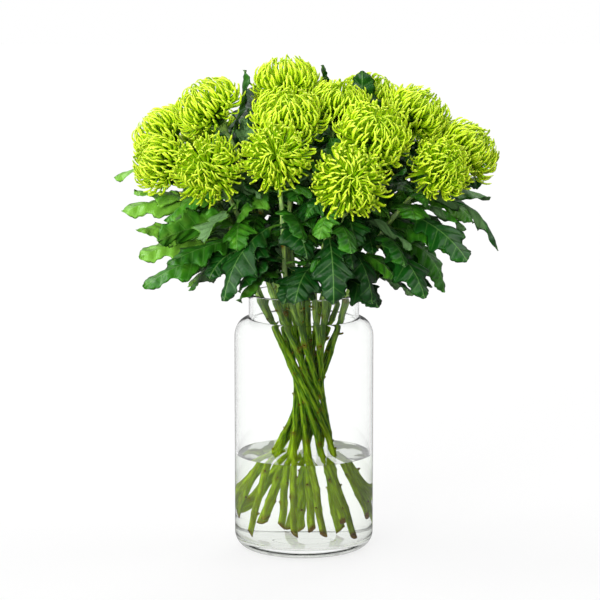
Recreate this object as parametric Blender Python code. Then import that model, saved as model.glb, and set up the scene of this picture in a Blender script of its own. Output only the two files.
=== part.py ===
"""A bouquet of lime-green disbud chrysanthemums standing in a glass vase of water.

Metres, +Z up. The origin is the centre of the vase's flat underside, and the bouquet's front faces -Y.
Each flower is two solids, a leafy stem and its bloom, a hair's breadth apart where their colours meet.
"""

import math

import bmesh
import bpy
import numpy as np
from mathutils import Vector

# The vase
VASE_HEIGHT = 0.350
BODY_RADIUS = 0.094
NECK_RADIUS = 0.0745
NECK_HEIGHT = 0.034
SHOULDER_HEIGHT = 0.026
HEEL_RADIUS = 0.022
INNER_HEEL_RADIUS = 0.016
WALL = 0.0038
FLOOR = 0.014
VASE_SIDES = 24
PUNT_RADIUS = 0.030
PUNT_WIDTH = 0.003
PUNT_DEPTH = 0.0012

# The water, and the clearances that separate solids need
WATER_LEVEL = 0.130
GAP = 0.0003
HOLE_CLEARANCE = 0.0008

# The bundle of stems: straight lines that lean round the waist, as in a hand-tied bunch
WAIST_HEIGHT = 0.212
WAIST_RADIUS = 0.0182
WAIST_SPACING = 0.0087
WAIST_OFFSET = 0.007
WAIST_OFFSET_REACH = 0.085
TWIST = 25.0
NECK_SPREAD = 0.064
STEM_FOOT_RADIUS = 0.0045
STEM_RADIUS = 0.0036
STEM_TOP_RADIUS = 0.0026
CALYX_RADIUS = 0.0080
CALYX_HEIGHT = 0.008
LOWEST_END = 0.019
END_STEP = 0.0065
STEM_TO_WALL = 0.0075

# The flowers: the bloom's centre to the right, back and up, in metres, the way that it faces in degrees
# round from the front to the right and above level, and its radius
FLOWERS = (
    (-0.192, 0.032, 0.560, -95, 40, 0.046),
    (-0.126, -0.040, 0.602, -60, 52, 0.048),
    (-0.124, -0.130, 0.530, -18, 26, 0.049),
    (-0.190, -0.055, 0.530, -62, 20, 0.044),
    (-0.024, 0.015, 0.631, -35, 78, 0.047),
    (-0.021, -0.080, 0.591, 0, 57, 0.051),
    (-0.035, -0.165, 0.549, -5, 20, 0.047),
    (0.046, -0.030, 0.602, 20, 60, 0.045),
    (0.092, 0.060, 0.605, 50, 62, 0.045),
    (0.152, 0.000, 0.588, 50, 50, 0.048),
    (0.091, -0.100, 0.569, 15, 42, 0.052),
    (0.059, -0.170, 0.518, 5, 20, 0.050),
    (0.179, -0.085, 0.524, 25, 26, 0.044),
    (0.219, 0.000, 0.540, 62, 38, 0.048),
    (-0.130, 0.118, 0.550, -140, 36, 0.048),
    (-0.050, 0.172, 0.536, -172, 28, 0.049),
    (-0.015, 0.108, 0.596, 178, 62, 0.046),
    (0.086, 0.150, 0.560, 155, 36, 0.049),
    (0.185, 0.095, 0.540, 118, 30, 0.047),
)

# A bloom, in fractions of its radius, as (out from its axis, up from the core's middle), which lies
# CORE_SET_BACK behind the bloom's centre: the core's rings, and for the core's top and each band between two
# rings, how many columns there are to a petal, and the petal's path out to its tip
CORE_SET_BACK = 0.30
CORE_COLUMNS = 9
CORE_RINGS = ((0.30, 0.64), (0.56, 0.40), (0.64, 0.02), (0.34, -0.26))
CORE_TOP = 0.74
PETAL_BANDS = (
    (3, ((0.20, 0.83), (0.20, 0.93), (0.06, 0.94))),
    (1, ((0.60, 0.69), (0.64, 0.85), (0.47, 0.93))),
    (1, ((0.84, 0.30), (0.94, 0.54), (0.82, 0.70))),
    (1, ((0.78, -0.18), (1.00, 0.04), (0.97, 0.26))),
)
PETAL_WIDTHS = (0.105, 0.075)
NEIGHBOUR_REACH = 1.12
NEIGHBOUR_GAP = 0.0006

# A leaf, in fractions of its length: (place along the midrib, half width, how far the edge sweeps forward)
LEAF_OUTLINE = (
    (0.00, 0.018, 0.00),
    (0.14, 0.024, 0.00),
    (0.34, 0.195, 0.06),
    (0.44, 0.125, 0.01),
    (0.62, 0.240, 0.09),
    (0.76, 0.145, 0.02),
    (1.00, 0.012, 0.00),
)
BROADEST_LENGTH = 0.112
LEAF_THICKNESS = 0.0009
LEAF_FOLD = 0.30
PETIOLE_END = 0.14
LEAF_CLEARANCE = 0.0072
BLOOM_CLEARANCE = 0.003
BLOOM_DEPTH = 0.72
VASE_CLEARANCE = 0.003

# Leaves with a place of their own: flower, height of the root on its stem, tip to the right, back and up,
# rise at the stem and turn about the midrib in degrees
PLACED_LEAVES = (
    (6, 0.452, (-0.103, -0.160, 0.362), 0, 0),
    (2, 0.410, (-0.210, -0.090, 0.368), 8, 12),
    (12, 0.462, (0.212, -0.125, 0.410), 0, -22),
    (11, 0.440, (0.038, -0.160, 0.358), 0, 0),
    (3, 0.420, (-0.218, -0.060, 0.404), 15, 15),
    (3, 0.455, (-0.243, -0.040, 0.466), 30, 15),
    (0, 0.490, (-0.264, 0.010, 0.496), 40, 12),
    (13, 0.470, (0.258, -0.045, 0.412), 28, 35),
    (13, 0.500, (0.243, 0.030, 0.494), 10, -30),
    (12, 0.420, (0.158, -0.110, 0.358), 5, -12),
    (10, 0.425, (0.088, -0.118, 0.352), 5, 10),
    (2, 0.445, (-0.190, -0.125, 0.437), 15, 115),
    (13, 0.420, (0.190, -0.015, 0.352), 10, -15),
    (18, 0.470, (0.255, 0.060, 0.470), 25, -12),
    (5, 0.440, (-0.010, -0.150, 0.405), 0, 15),
    (11, 0.500, (0.132, -0.118, 0.530), 10, 0),
    (4, 0.580, (0.024, 0.045, 0.653), 10, 0),
    (7, 0.540, (0.080, 0.010, 0.648), 40, -60),
    (1, 0.560, (-0.080, 0.020, 0.648), 40, 60),
)
# The other leaves: heights on each stem for stems that lean far out, and for those nearer the middle
OUTER_HEIGHTS = (0.405, 0.450, 0.500)
INNER_HEIGHTS = (0.430, 0.490, 0.540)
OUTER_REACH = 0.115
SIDE_TURN = 40
SIDE_ROLL = 22
LEAF_LENGTH = 0.112
LEAF_RISE = 22
LEAF_DROOP = 58
TURNS_TRIED = (0, 12, -12, 24, -24, 38, -38, 54, -54, 72, -72, 92, -92, 115, -115)
LIFTS_TRIED = (0, 0.014, -0.014)
LENGTHS_TRIED = (1.0, 0.86, 0.72)
MOST_LEAVES = 3

# Finishes: colour, roughness, metallic, transmission
GLASS = ("clear glass", (0.93, 0.96, 0.95), 0.03, 0.0, 1.0)
WATER = ("water", (0.93, 0.97, 0.95), 0.02, 0.0, 1.0)
FOLIAGE = ("stem and leaf green", (0.045, 0.150, 0.030), 0.45, 0.0, 0.0)
PETALS = ("lime petals", (0.480, 0.720, 0.040), 0.55, 0.0, 0.0)


def clear_scene():
    """Empties the file of the objects that it opened with."""
    for old in list(bpy.data.objects):
        bpy.data.objects.remove(old)


def finish(name, colour, roughness, metallic, transmission):
    """A Principled material."""
    made = bpy.data.materials.new(name)
    made.use_nodes = True
    shader = made.node_tree.nodes["Principled BSDF"]
    shader.inputs["Base Color"].default_value = (*colour, 1.0)
    shader.inputs["Roughness"].default_value = roughness
    shader.inputs["Metallic"].default_value = metallic
    shader.inputs["Transmission Weight"].default_value = transmission
    return made


def object_from(name, bm, material):
    """A named object holding the mesh that bm has become."""
    mesh = bpy.data.meshes.new(name)
    bm.to_mesh(mesh)
    bm.free()
    mesh.materials.append(material)
    mesh.shade_smooth()
    mesh.set_sharp_from_angle(angle=math.radians(40))
    made = bpy.data.objects.new(name, mesh)
    bpy.context.scene.collection.objects.link(made)
    return made


def direction(azimuth, elevation):
    """The unit vector at azimuth degrees round from the front to the right, and elevation degrees above level."""
    turn, lift = math.radians(azimuth), math.radians(elevation)
    return np.array([math.sin(turn) * math.cos(lift), -math.cos(turn) * math.cos(lift), math.sin(lift)])


# Vase and water


def quarter_arc(centre, radii, start, steps=3):
    """Points of a quarter ellipse round centre, from start degrees and 90 degrees on, as (radius, height)."""
    turns = np.radians(np.linspace(start, start + 90, steps + 1))
    return [(centre[0] + radii[0] * math.cos(a), centre[1] + radii[1] * math.sin(a)) for a in turns]


def vase_outside():
    """The outer outline from the punt ring in the underside up to the rim, as (radius, height)."""
    shoulder_foot = VASE_HEIGHT - NECK_HEIGHT - SHOULDER_HEIGHT
    inset = BODY_RADIUS - NECK_RADIUS
    ring = PUNT_RADIUS + PUNT_WIDTH
    return [
        (0.0, 0.0),
        (PUNT_RADIUS, 0.0),
        ((PUNT_RADIUS + ring) / 2, PUNT_DEPTH),
        (ring, 0.0),
        *quarter_arc((BODY_RADIUS - HEEL_RADIUS, HEEL_RADIUS), (HEEL_RADIUS, HEEL_RADIUS), -90),
        *quarter_arc((NECK_RADIUS, shoulder_foot), (inset, SHOULDER_HEIGHT), 0),
        (NECK_RADIUS, VASE_HEIGHT - WALL / 2),
        (NECK_RADIUS - WALL / 2, VASE_HEIGHT),
    ]


def vase_inside():
    """The inner outline from the rim down to the middle of the floor, as (radius, height)."""
    shoulder_foot = VASE_HEIGHT - NECK_HEIGHT - SHOULDER_HEIGHT
    inset = BODY_RADIUS - NECK_RADIUS
    side = BODY_RADIUS - WALL
    corner = (side - INNER_HEEL_RADIUS, FLOOR + INNER_HEEL_RADIUS)
    shoulder = quarter_arc((NECK_RADIUS - WALL, shoulder_foot), (inset, SHOULDER_HEIGHT - WALL / 2), 0)
    heel = quarter_arc(corner, (INNER_HEEL_RADIUS, INNER_HEEL_RADIUS), -90)
    return [(NECK_RADIUS - WALL, VASE_HEIGHT - WALL / 2), *reversed(shoulder), *reversed(heel), (0.0, FLOOR)]


def turned(outline):
    """The outline turned round the upright axis into one closed mesh."""
    bm = bmesh.new()
    corners = [bm.verts.new((radius, 0.0, height)) for radius, height in outline]
    edges = [bm.edges.new(pair) for pair in zip(corners, corners[1:])]
    bmesh.ops.spin(
        bm, geom=corners + edges, cent=(0, 0, 0), axis=(0, 0, 1), angle=math.tau, steps=VASE_SIDES
    )
    bmesh.ops.remove_doubles(bm, verts=bm.verts, dist=1e-6)
    bmesh.ops.recalc_face_normals(bm, faces=bm.faces)
    return bm


def make_vase():
    return object_from("vase", turned(vase_outside() + vase_inside()), finish(*GLASS))


def make_water(stems):
    """The water fills the foot of the vase, with a plain hole for each stem."""
    side = BODY_RADIUS - WALL - GAP
    base = FLOOR + GAP
    corner = (side - INNER_HEEL_RADIUS, base + INNER_HEEL_RADIUS)
    heel = quarter_arc(corner, (INNER_HEEL_RADIUS, INNER_HEEL_RADIUS), -90)
    outline = [(0.0, base), *heel, (side, WATER_LEVEL), (0.0, WATER_LEVEL)]
    water = object_from("water", turned(outline), finish(*WATER))
    holes = bpy.data.collections.new("stem holes")
    for number, stem in enumerate(stems):
        below = stem.stations[0] - stem.stations[1]
        start = stem.stations[0] + below / np.linalg.norm(below) * HOLE_CLEARANCE
        radii = [radius + HOLE_CLEARANCE for radius in stem.radii[:2]]
        hole = tube(f"hole_{number}", (start, stem.stations[1]), radii)
        holes.objects.link(hole)
    bpy.context.view_layer.update()
    cut = water.modifiers.new("holes", "BOOLEAN")
    cut.operation = "DIFFERENCE"
    cut.operand_type = "COLLECTION"
    cut.collection = holes
    apply_modifiers(water)
    drop(holes)


def apply_modifiers(obj):
    """Replaces the object's mesh by what its modifiers make of it."""
    evaluated = obj.evaluated_get(bpy.context.evaluated_depsgraph_get())
    mesh = bpy.data.meshes.new_from_object(evaluated)
    obj.modifiers.clear()
    obj.data = mesh


def drop(collection):
    """Removes a collection of helpers and the objects in it."""
    for helper in list(collection.objects):
        bpy.data.objects.remove(helper)
    bpy.data.collections.remove(collection)


# Stems


def tube(name, route, radii):
    """A tube of six sides along the route, with a radius at each point, as a mesh object in the scene."""
    curve = bpy.data.curves.new(name, "CURVE")
    curve.dimensions = "3D"
    curve.bevel_depth = 1.0
    curve.bevel_resolution = 1
    curve.use_fill_caps = True
    line = curve.splines.new("POLY")
    line.points.add(len(route) - 1)
    for point, place, radius in zip(line.points, route, radii):
        point.co = (*place, 1.0)
        point.radius = radius
    drawn = bpy.data.objects.new(name, curve)
    bpy.context.scene.collection.objects.link(drawn)
    bpy.context.view_layer.update()
    mesh = bpy.data.meshes.new_from_object(drawn.evaluated_get(bpy.context.evaluated_depsgraph_get()))
    bpy.data.objects.remove(drawn)
    bm = bmesh.new()
    bm.from_mesh(mesh)
    bpy.data.meshes.remove(mesh)
    bmesh.ops.remove_doubles(bm, verts=bm.verts, dist=1e-6)
    bmesh.ops.recalc_face_normals(bm, faces=bm.faces)
    made = bpy.data.meshes.new(name)
    bm.to_mesh(made)
    bm.free()
    solid = bpy.data.objects.new(name, made)
    bpy.context.scene.collection.objects.link(solid)
    return solid


def waist_places():
    """Where each stem crosses the waist, as complex numbers x + iy.

    The bundle is one pattern that turns and grows with distance from the waist, so stems never meet.
    Each stem leaves the neck on its own bloom's side, and near stems are pushed apart at the waist.
    """
    blooms = np.array([complex(x, y) for x, y, *_ in FLOWERS])
    reach = np.abs(blooms)
    neck = blooms / reach * NECK_SPREAD * (reach / reach.max()) ** 0.9
    places = neck / (1 - 1j * TWIST * (VASE_HEIGHT - WAIST_HEIGHT))
    for _ in range(400):
        apart = places[:, None] - places[None, :]
        distance = np.abs(apart) + np.eye(len(places))
        push = np.clip(WAIST_SPACING - distance, 0, None) * (1 - np.eye(len(places)))
        places = places + (apart / distance * push * 0.3).sum(axis=1)
        places = places * np.minimum(1, WAIST_RADIUS / np.abs(places))
    return places


def bundle_point(place, height):
    """The point at a height of the stem that crosses the waist at place."""
    flat = place * (1 - 1j * TWIST * (height - WAIST_HEIGHT))
    flat += WAIST_OFFSET * math.exp(-(((height - WAIST_HEIGHT) / WAIST_OFFSET_REACH) ** 2))
    return np.array([flat.real, flat.imag, height])


class Stem:
    """One flower's stem: straight through the bundle, then a bend out to its bloom."""

    def __init__(self, number, place):
        x, y, z, azimuth, elevation, radius = FLOWERS[number]
        self.centre = np.array([x, y, z])
        self.facing = direction(azimuth, elevation)
        self.bloom_radius = radius
        self.core = self.centre - self.facing * radius * CORE_SET_BACK
        self.place = place
        heights = (self.end_height(number), WAIST_HEIGHT, VASE_HEIGHT)
        self.stations = [bundle_point(place, height) for height in heights]
        bend = self.bend(np.array([0.2, 0.4, 0.6, 0.8]))
        top = self.top()
        self.stations += [*bend, top - self.facing * CALYX_HEIGHT, top]
        fade = np.linspace(STEM_RADIUS, STEM_TOP_RADIUS, 6)
        self.radii = [STEM_FOOT_RADIUS, STEM_RADIUS, *fade, CALYX_RADIUS]

    def end_height(self, number):
        """Where the stem is cut: at one of five heights in turn, or above that where it would meet the glass."""
        spread = (BODY_RADIUS - WALL - STEM_TO_WALL) / abs(self.place)
        at_wall = WAIST_HEIGHT - math.sqrt(spread**2 - 1) / TWIST
        return max(LOWEST_END + END_STEP * (number * 3 % 5), at_wall)

    def top(self):
        """Where the stem's flared end meets the bloom, less the gap between the two solids."""
        return self.core + self.facing * (CORE_RINGS[-1][1] * self.bloom_radius - GAP)

    def bend(self, t):
        """Points of the cubic curve from the neck of the vase to the calyx, at shares t of the way."""
        start = bundle_point(self.place, VASE_HEIGHT)
        lean = start - bundle_point(self.place, VASE_HEIGHT - 0.01)
        lean /= np.linalg.norm(lean)
        end = self.top() - self.facing * CALYX_HEIGHT
        pull = 0.36 * np.linalg.norm(end - start)
        t = np.asarray(t)[:, None]
        return (
            (1 - t) ** 3 * start
            + 3 * (1 - t) ** 2 * t * (start + lean * pull)
            + 3 * (1 - t) * t**2 * (end - self.facing * pull)
            + t**3 * end
        )

    def at_height(self, height):
        """The point of the bend nearest to a height."""
        points = self.bend(np.linspace(0, 1, 101))
        return points[np.abs(points[:, 2] - height).argmin()]

    def samples(self):
        """Points every few millimetres along the solid's own straight runs."""
        runs = []
        for start, end in zip(self.stations, self.stations[1:]):
            runs.append(np.linspace(start, end, 2 + int(np.linalg.norm(end - start) / 0.004)))
        return np.concatenate(runs)


# Leaves


class Leaf:
    """One leaf: its midrib arcs from the stem, and its two halves fall away from it as a shallow roof."""

    def __init__(self, root, heading, length, rise, droop, roll):
        self.root = np.asarray(root)
        self.heading = heading
        self.length = length
        self.rise = rise
        self.droop = droop
        self.roll = roll

    def midrib(self, t):
        """(points, tangents) of the midrib at shares t of its length: its slope turns evenly from rise to -droop."""
        fine = np.linspace(0, 1, 61)
        slope = np.radians(self.rise - (self.rise + self.droop) * fine)
        middle = (slope[1:] + slope[:-1]) / 2
        step = self.length / (len(fine) - 1)
        along = np.interp(t, fine, np.append(0, np.cumsum(np.cos(middle)))) * step
        lift = np.interp(t, fine, np.append(0, np.cumsum(np.sin(middle)))) * step
        angle = np.interp(t, fine, slope)[:, None]
        ahead, upright = direction(self.heading, 0), np.array([0, 0, 1.0])
        points = self.root + along[:, None] * ahead + lift[:, None] * upright
        return points, np.cos(angle) * ahead + np.sin(angle) * upright

    def surface(self, t, across):
        """Points of the blade at shares t of the length and across of the half width, -1 left to 1 right."""
        places, halves, sweeps = np.array(LEAF_OUTLINE).T
        half = np.interp(t, places, halves)[:, None, None] * min(self.length, BROADEST_LENGTH)
        sweep = np.interp(t, places, sweeps)[:, None, None] * self.length
        points, tangents = self.midrib(t)
        level = np.cross(direction(self.heading, 0), [0, 0, 1.0])
        upper = np.cross(level, tangents)
        roll = math.radians(self.roll)
        side = (level * math.cos(roll) + upper * math.sin(roll))[:, None, :]
        normal = np.cross(side, tangents[:, None, :])
        spread = np.asarray(across)[None, :, None]
        return (
            points[:, None, :]
            + side * half * spread
            + tangents[:, None, :] * sweep * np.abs(spread)
            - normal * LEAF_FOLD * half * np.abs(spread)
        )

    def samples(self):
        """Points spread over the blade beyond its stalk, a few millimetres apart."""
        t = np.linspace(PETIOLE_END, 1, 2 + int(self.length / 0.004))
        return self.surface(t, np.linspace(-1, 1, 17)).reshape(-1, 3)

    def mesh_object(self, name):
        """The blade as a thin closed solid, in triangles alike on both faces."""
        t = np.array([place for place, _, _ in LEAF_OUTLINE])
        grid = self.surface(t, [-1, 0, 1])
        bm = bmesh.new()
        rows = [[bm.verts.new(point) for point in row] for row in grid]
        for low, high in zip(rows, rows[1:]):
            bm.faces.new((low[0], low[1], high[0]))
            bm.faces.new((low[1], high[1], high[0]))
            bm.faces.new((low[1], low[2], high[2]))
            bm.faces.new((low[1], high[2], high[1]))
        bm.normal_update()
        bmesh.ops.solidify(bm, geom=bm.faces[:], thickness=LEAF_THICKNESS)
        bmesh.ops.recalc_face_normals(bm, faces=bm.faces)
        mesh = bpy.data.meshes.new(name)
        bm.to_mesh(mesh)
        bm.free()
        return bpy.data.objects.new(name, mesh)


def vase_radius(heights):
    """The vase's outer radius at each height."""
    radii, levels = np.array(vase_outside()[4:-1]).T
    return np.interp(heights, levels, radii)


class Clearances:
    """What is already in its place, and the test that a new leaf keeps clear of it."""

    def __init__(self, stems):
        self.stems = stems
        self.stem_points = [stem.samples() for stem in stems]
        self.leaf_points = []

    def takes(self, leaf, owner):
        """True if the leaf of stem number owner clears the vase, the blooms, the other stems and the leaves."""
        points = leaf.samples()
        low = points[:, 2] < VASE_HEIGHT + VASE_CLEARANCE
        inside = np.hypot(points[:, 0], points[:, 1]) < vase_radius(points[:, 2]) + VASE_CLEARANCE
        if (low & inside).any():
            return False
        if any(within_bloom(points, stem).any() for stem in self.stems):
            return False
        others = [route for number, route in enumerate(self.stem_points) if number != owner] + self.leaf_points
        return all(nearest(some, others) > LEAF_CLEARANCE for some in (points[::7], points))

    def add(self, leaf):
        self.leaf_points.append(leaf.samples())


def within_bloom(points, stem):
    """Which points lie in the flattened ball that a bloom's petals fill, with a little room round it."""
    apart = points - stem.centre
    along = apart @ stem.facing
    out = np.linalg.norm(apart - along[:, None] * stem.facing, axis=1)
    radius, depth = stem.bloom_radius + BLOOM_CLEARANCE, stem.bloom_radius * BLOOM_DEPTH + BLOOM_CLEARANCE
    return (out / radius) ** 2 + (along / depth) ** 2 < 1


def nearest(points, groups):
    """The least distance from any of the points to any point of the groups."""
    obstacles = np.concatenate(groups)
    low, high = points.min(axis=0) - 0.02, points.max(axis=0) + 0.02
    obstacles = obstacles[((obstacles > low) & (obstacles < high)).all(axis=1)]
    if not len(obstacles):
        return math.inf
    centre = points.mean(axis=0)
    points, obstacles = points - centre, obstacles - centre
    squares = (points**2).sum(axis=1)[:, None] + (obstacles**2).sum(axis=1) - 2 * points @ obstacles.T
    return math.sqrt(max(squares.min(), 0))


def leaf_to(root, tip, rise, roll):
    """The leaf from root to tip that leaves the stem at rise degrees above level: its midrib is a circular arc."""
    across = np.asarray(tip) - root
    chord = math.degrees(math.atan2(across[2], math.hypot(across[0], across[1])))
    length = np.linalg.norm(across) / np.sinc((rise - chord) / 180)
    heading = math.degrees(math.atan2(across[0], -across[1]))
    return Leaf(root, heading, length, rise, rise - 2 * chord, roll)


def wished_leaves(stems):
    """Every leaf that the bouquet would hold, with its flower's number and its height on the stem."""
    wishes = []
    for number, height, tip, rise, roll in PLACED_LEAVES:
        wishes.append((number, height, leaf_to(stems[number].at_height(height), tip, rise, roll)))
    for number, stem in enumerate(stems):
        outer = math.hypot(*stem.centre[:2]) > OUTER_REACH
        for step, height in enumerate(OUTER_HEIGHTS if outer else INNER_HEIGHTS):
            root = stem.at_height(height)
            outward = math.degrees(math.atan2(root[0], -root[1]))
            side = 1 if (step + number) % 2 else -1
            heading, roll = outward + side * SIDE_TURN, side * SIDE_ROLL
            wishes.append((number, height, Leaf(root, heading, LEAF_LENGTH, LEAF_RISE, LEAF_DROOP, roll)))
    return wishes


def variants(stem, height, leaf):
    """The leaf as wished, then turned about the stem, moved along it and made smaller."""
    for share in LENGTHS_TRIED:
        for lift in LIFTS_TRIED:
            root = stem.at_height(height + lift)
            for turn in TURNS_TRIED:
                yield Leaf(root, leaf.heading + turn, leaf.length * share, leaf.rise, leaf.droop, leaf.roll)


def grown_leaves(stems):
    """The leaves of each stem, each varied until it is clear of everything before it, or left out."""
    clearances = Clearances(stems)
    leaves = [[] for _ in stems]
    for owner, height, wish in wished_leaves(stems):
        if len(leaves[owner]) == MOST_LEAVES:
            continue
        tries = variants(stems[owner], height, wish)
        leaf = next((leaf for leaf in tries if clearances.takes(leaf, owner)), None)
        if leaf:
            leaves[owner].append(leaf)
            clearances.add(leaf)
    return leaves


def make_leafy_stem(name, stem, leaves, material):
    """A stem with its leaves joined to it."""
    solid = tube(name, stem.stations, stem.radii)
    blades = bpy.data.collections.new("blades")
    for number, leaf in enumerate(leaves):
        blades.objects.link(leaf.mesh_object(f"{name}_leaf_{number}"))
    bpy.context.scene.collection.children.link(blades)
    bpy.context.view_layer.update()
    join = solid.modifiers.new("leaves", "BOOLEAN")
    join.operation = "UNION"
    join.operand_type = "COLLECTION"
    join.collection = blades
    apply_modifiers(solid)
    drop(blades)
    solid.data.materials.clear()
    solid.data.materials.append(material)
    solid.data.shade_smooth()
    solid.data.set_sharp_from_angle(angle=math.radians(40))


# Blooms


def bloom_frame(facing):
    """Two unit vectors square to the way that a bloom faces, and to each other."""
    side = np.cross(facing, [0, 0, 1.0])
    side /= np.linalg.norm(side)
    return side, np.cross(facing, side)


def neighbour_planes(stem, stems):
    """The planes, as (point, normal), that part this bloom from each bloom that it touches."""
    planes = []
    for other in stems:
        across = other.centre - stem.centre
        distance = np.linalg.norm(across)
        reach = stem.bloom_radius + other.bloom_radius
        if other is not stem and distance < reach * NEIGHBOUR_REACH:
            planes.append((stem.centre + across * stem.bloom_radius / reach, across / distance))
    return planes


def kept_share(root, path, widths, planes):
    """The share of its length that a petal keeps, so that it stays on its own side of every plane."""
    share = 1.0
    for point, normal in planes:
        for place, width in zip(path, (*widths, 0.0)):
            ahead = (place - root) @ normal
            if ahead > 1e-9:
                room = (point - root) @ normal - width - NEIGHBOUR_GAP
                share = min(share, room / ahead)
    return max(share, 0.1)


def grow_petal(bm, face, path, widths):
    """Extrudes one three-sided face of the core along the path, then draws its end out to the last point.

    Each section is the face's own triangle, turned as the path turns and drawn in to its width.
    """
    root = face.calc_center_median()
    spread = [(vert.co - root).normalized() for vert in face.verts]
    heading, previous = face.normal.copy(), root
    for place, width in zip(map(Vector, path), widths):
        ahead = (place - previous).normalized()
        turn = heading.rotation_difference(ahead)
        spread = [turn @ offset for offset in spread]
        face = bmesh.ops.extrude_discrete_faces(bm, faces=[face])["faces"][0]
        for vert, offset in zip(face.verts, spread):
            vert.co = place + offset * width
        heading, previous = ahead, place
    tip = bmesh.ops.poke(bm, faces=[face])["verts"][0]
    tip.co = Vector(path[-1])


def make_bloom(name, stem, stems, material):
    """A domed core with layers of incurved petals drawn out of its own facets."""
    radius, facing = stem.bloom_radius, stem.facing
    side, up = bloom_frame(facing)

    def place(out, height, turn):
        flat = math.cos(turn) * side + math.sin(turn) * up
        return stem.core + radius * (out * flat + height * facing)

    bm = bmesh.new()
    column = math.tau / CORE_COLUMNS
    rings = [
        [bm.verts.new(place(out, height, (j + i / 2) * column)) for j in range(CORE_COLUMNS)]
        for i, (out, height) in enumerate(CORE_RINGS)
    ]
    top = bm.verts.new(place(0, CORE_TOP, 0))
    bands = [[bm.faces.new((top, a, b)) for a, b in zip(rings[0], rings[0][1:] + rings[0][:1])]]
    for high, low in zip(rings, rings[1:]):
        ahead, below = high[1:] + high[:1], low[1:] + low[:1]
        bands.append([bm.faces.new((b, c, d)) for b, c, d in zip(ahead, low, below)])
        for a, b, c in zip(high, ahead, low):
            bm.faces.new((a, c, b))
    bm.faces.new(list(reversed(rings[-1])))
    bmesh.ops.recalc_face_normals(bm, faces=bm.faces)

    planes = neighbour_planes(stem, stems)
    widths = [width * radius for width in PETAL_WIDTHS]
    for band, (every, route) in zip(bands, PETAL_BANDS):
        for face in band[::every]:
            root = np.array(face.calc_center_median())
            outward = root - stem.core
            turn = math.atan2(outward @ up, outward @ side)
            path = [place(out, height, turn) for out, height in route]
            share = kept_share(root, path, widths, planes)
            grow_petal(bm, face, [root + (point - root) * share for point in path], widths)
    bmesh.ops.triangulate(bm, faces=bm.faces)
    return object_from(name, bm, material)


def main():
    clear_scene()
    foliage, petals = finish(*FOLIAGE), finish(*PETALS)
    stems = [Stem(number, place) for number, place in enumerate(waist_places())]
    leaves = grown_leaves(stems)
    make_vase()
    make_water(stems)
    for number, (stem, own) in enumerate(zip(stems, leaves), 1):
        make_leafy_stem(f"leafy_stem_{number:02d}", stem, own, foliage)
        make_bloom(f"bloom_{number:02d}", stem, stems, petals)


main()
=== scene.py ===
"""The looks of a bouquet of lime-green disbud chrysanthemums standing in a glass vase of water.

Metres, +Z up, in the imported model's own frame: the origin is the centre of the vase's underside and
the front faces -Y. Vase, stems, leaves and blooms repeat the sizes and rules of the solids that they
stand for, drawn more finely.
"""

import math
from dataclasses import dataclass

import bpy
import numpy as np
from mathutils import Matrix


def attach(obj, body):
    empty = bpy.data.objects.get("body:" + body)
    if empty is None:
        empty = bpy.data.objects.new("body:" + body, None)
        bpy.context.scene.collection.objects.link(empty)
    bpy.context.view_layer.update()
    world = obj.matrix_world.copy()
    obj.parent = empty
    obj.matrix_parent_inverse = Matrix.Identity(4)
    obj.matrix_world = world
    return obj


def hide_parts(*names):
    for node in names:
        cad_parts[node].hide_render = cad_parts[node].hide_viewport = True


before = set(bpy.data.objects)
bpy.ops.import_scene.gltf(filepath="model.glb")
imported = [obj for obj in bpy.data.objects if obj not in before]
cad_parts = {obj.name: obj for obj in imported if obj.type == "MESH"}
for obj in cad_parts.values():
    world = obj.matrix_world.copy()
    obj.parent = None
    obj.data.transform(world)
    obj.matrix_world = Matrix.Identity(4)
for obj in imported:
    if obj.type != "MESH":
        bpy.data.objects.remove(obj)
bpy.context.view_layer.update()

# The vase and its water
VASE_HEIGHT = 0.350
BODY_RADIUS = 0.094
NECK_RADIUS = 0.0745
NECK_HEIGHT = 0.034
SHOULDER_HEIGHT = 0.026
HEEL_RADIUS = 0.022
INNER_HEEL_RADIUS = 0.016
WALL = 0.0038
BASE_THICKNESS = 0.014
PUNT_RADIUS = 0.030
PUNT_WIDTH = 0.003
PUNT_DEPTH = 0.0012
WATER_LEVEL = 0.130
WATER_OVERLAP = 0.0002
MENISCUS = 0.0004
LATHE_SIDES = 144
ARC_STEPS = 14
INNER_RADIUS = BODY_RADIUS - WALL
SHOULDER_START = VASE_HEIGHT - NECK_HEIGHT - SHOULDER_HEIGHT

# The bundle of stems: straight lines that lean round the waist, as in a hand-tied bunch
WAIST_HEIGHT = 0.212
WAIST_RADIUS = 0.0182
WAIST_SPACING = 0.0087
WAIST_OFFSET = 0.007
WAIST_OFFSET_REACH = 0.085
TWIST = 25.0
NECK_SPREAD = 0.064
NECK_SPREAD_POWER = 0.9
SETTLING_ROUNDS = 400
SETTLING_PUSH = 0.3
BEND_PULL = 0.36
STEM_FOOT_RADIUS = 0.0045
STEM_RADIUS = 0.0036
STEM_TOP_RADIUS = 0.0026
CALYX_RADIUS = 0.0080
CALYX_HEIGHT = 0.008
LOWEST_END = 0.019
END_STEP = 0.0065
STEM_TO_WALL = 0.0075
STEM_WANDER = 0.0008
STEM_RIDGES = 0.08
STREAK_LENGTH = 0.030
GAP = 0.0003
LINE_STEP = 0.003
SAMPLE_STEP = 0.004
STEM_SIDES = 15
CUT_SLANT = 0.9
FIRST_NODE = 0.022
NODE_SPACING = 0.029
NODE_STRAY = 0.005
NODE_LENGTH = 0.0032
NODE_SWELLING = 0.16
NODELESS_TOP = 0.05
LONG_WANDER = 0.021
SHORT_WANDER = 0.009
CUT_LENGTH = 0.012
BROWN_CUT = 0.006

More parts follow.
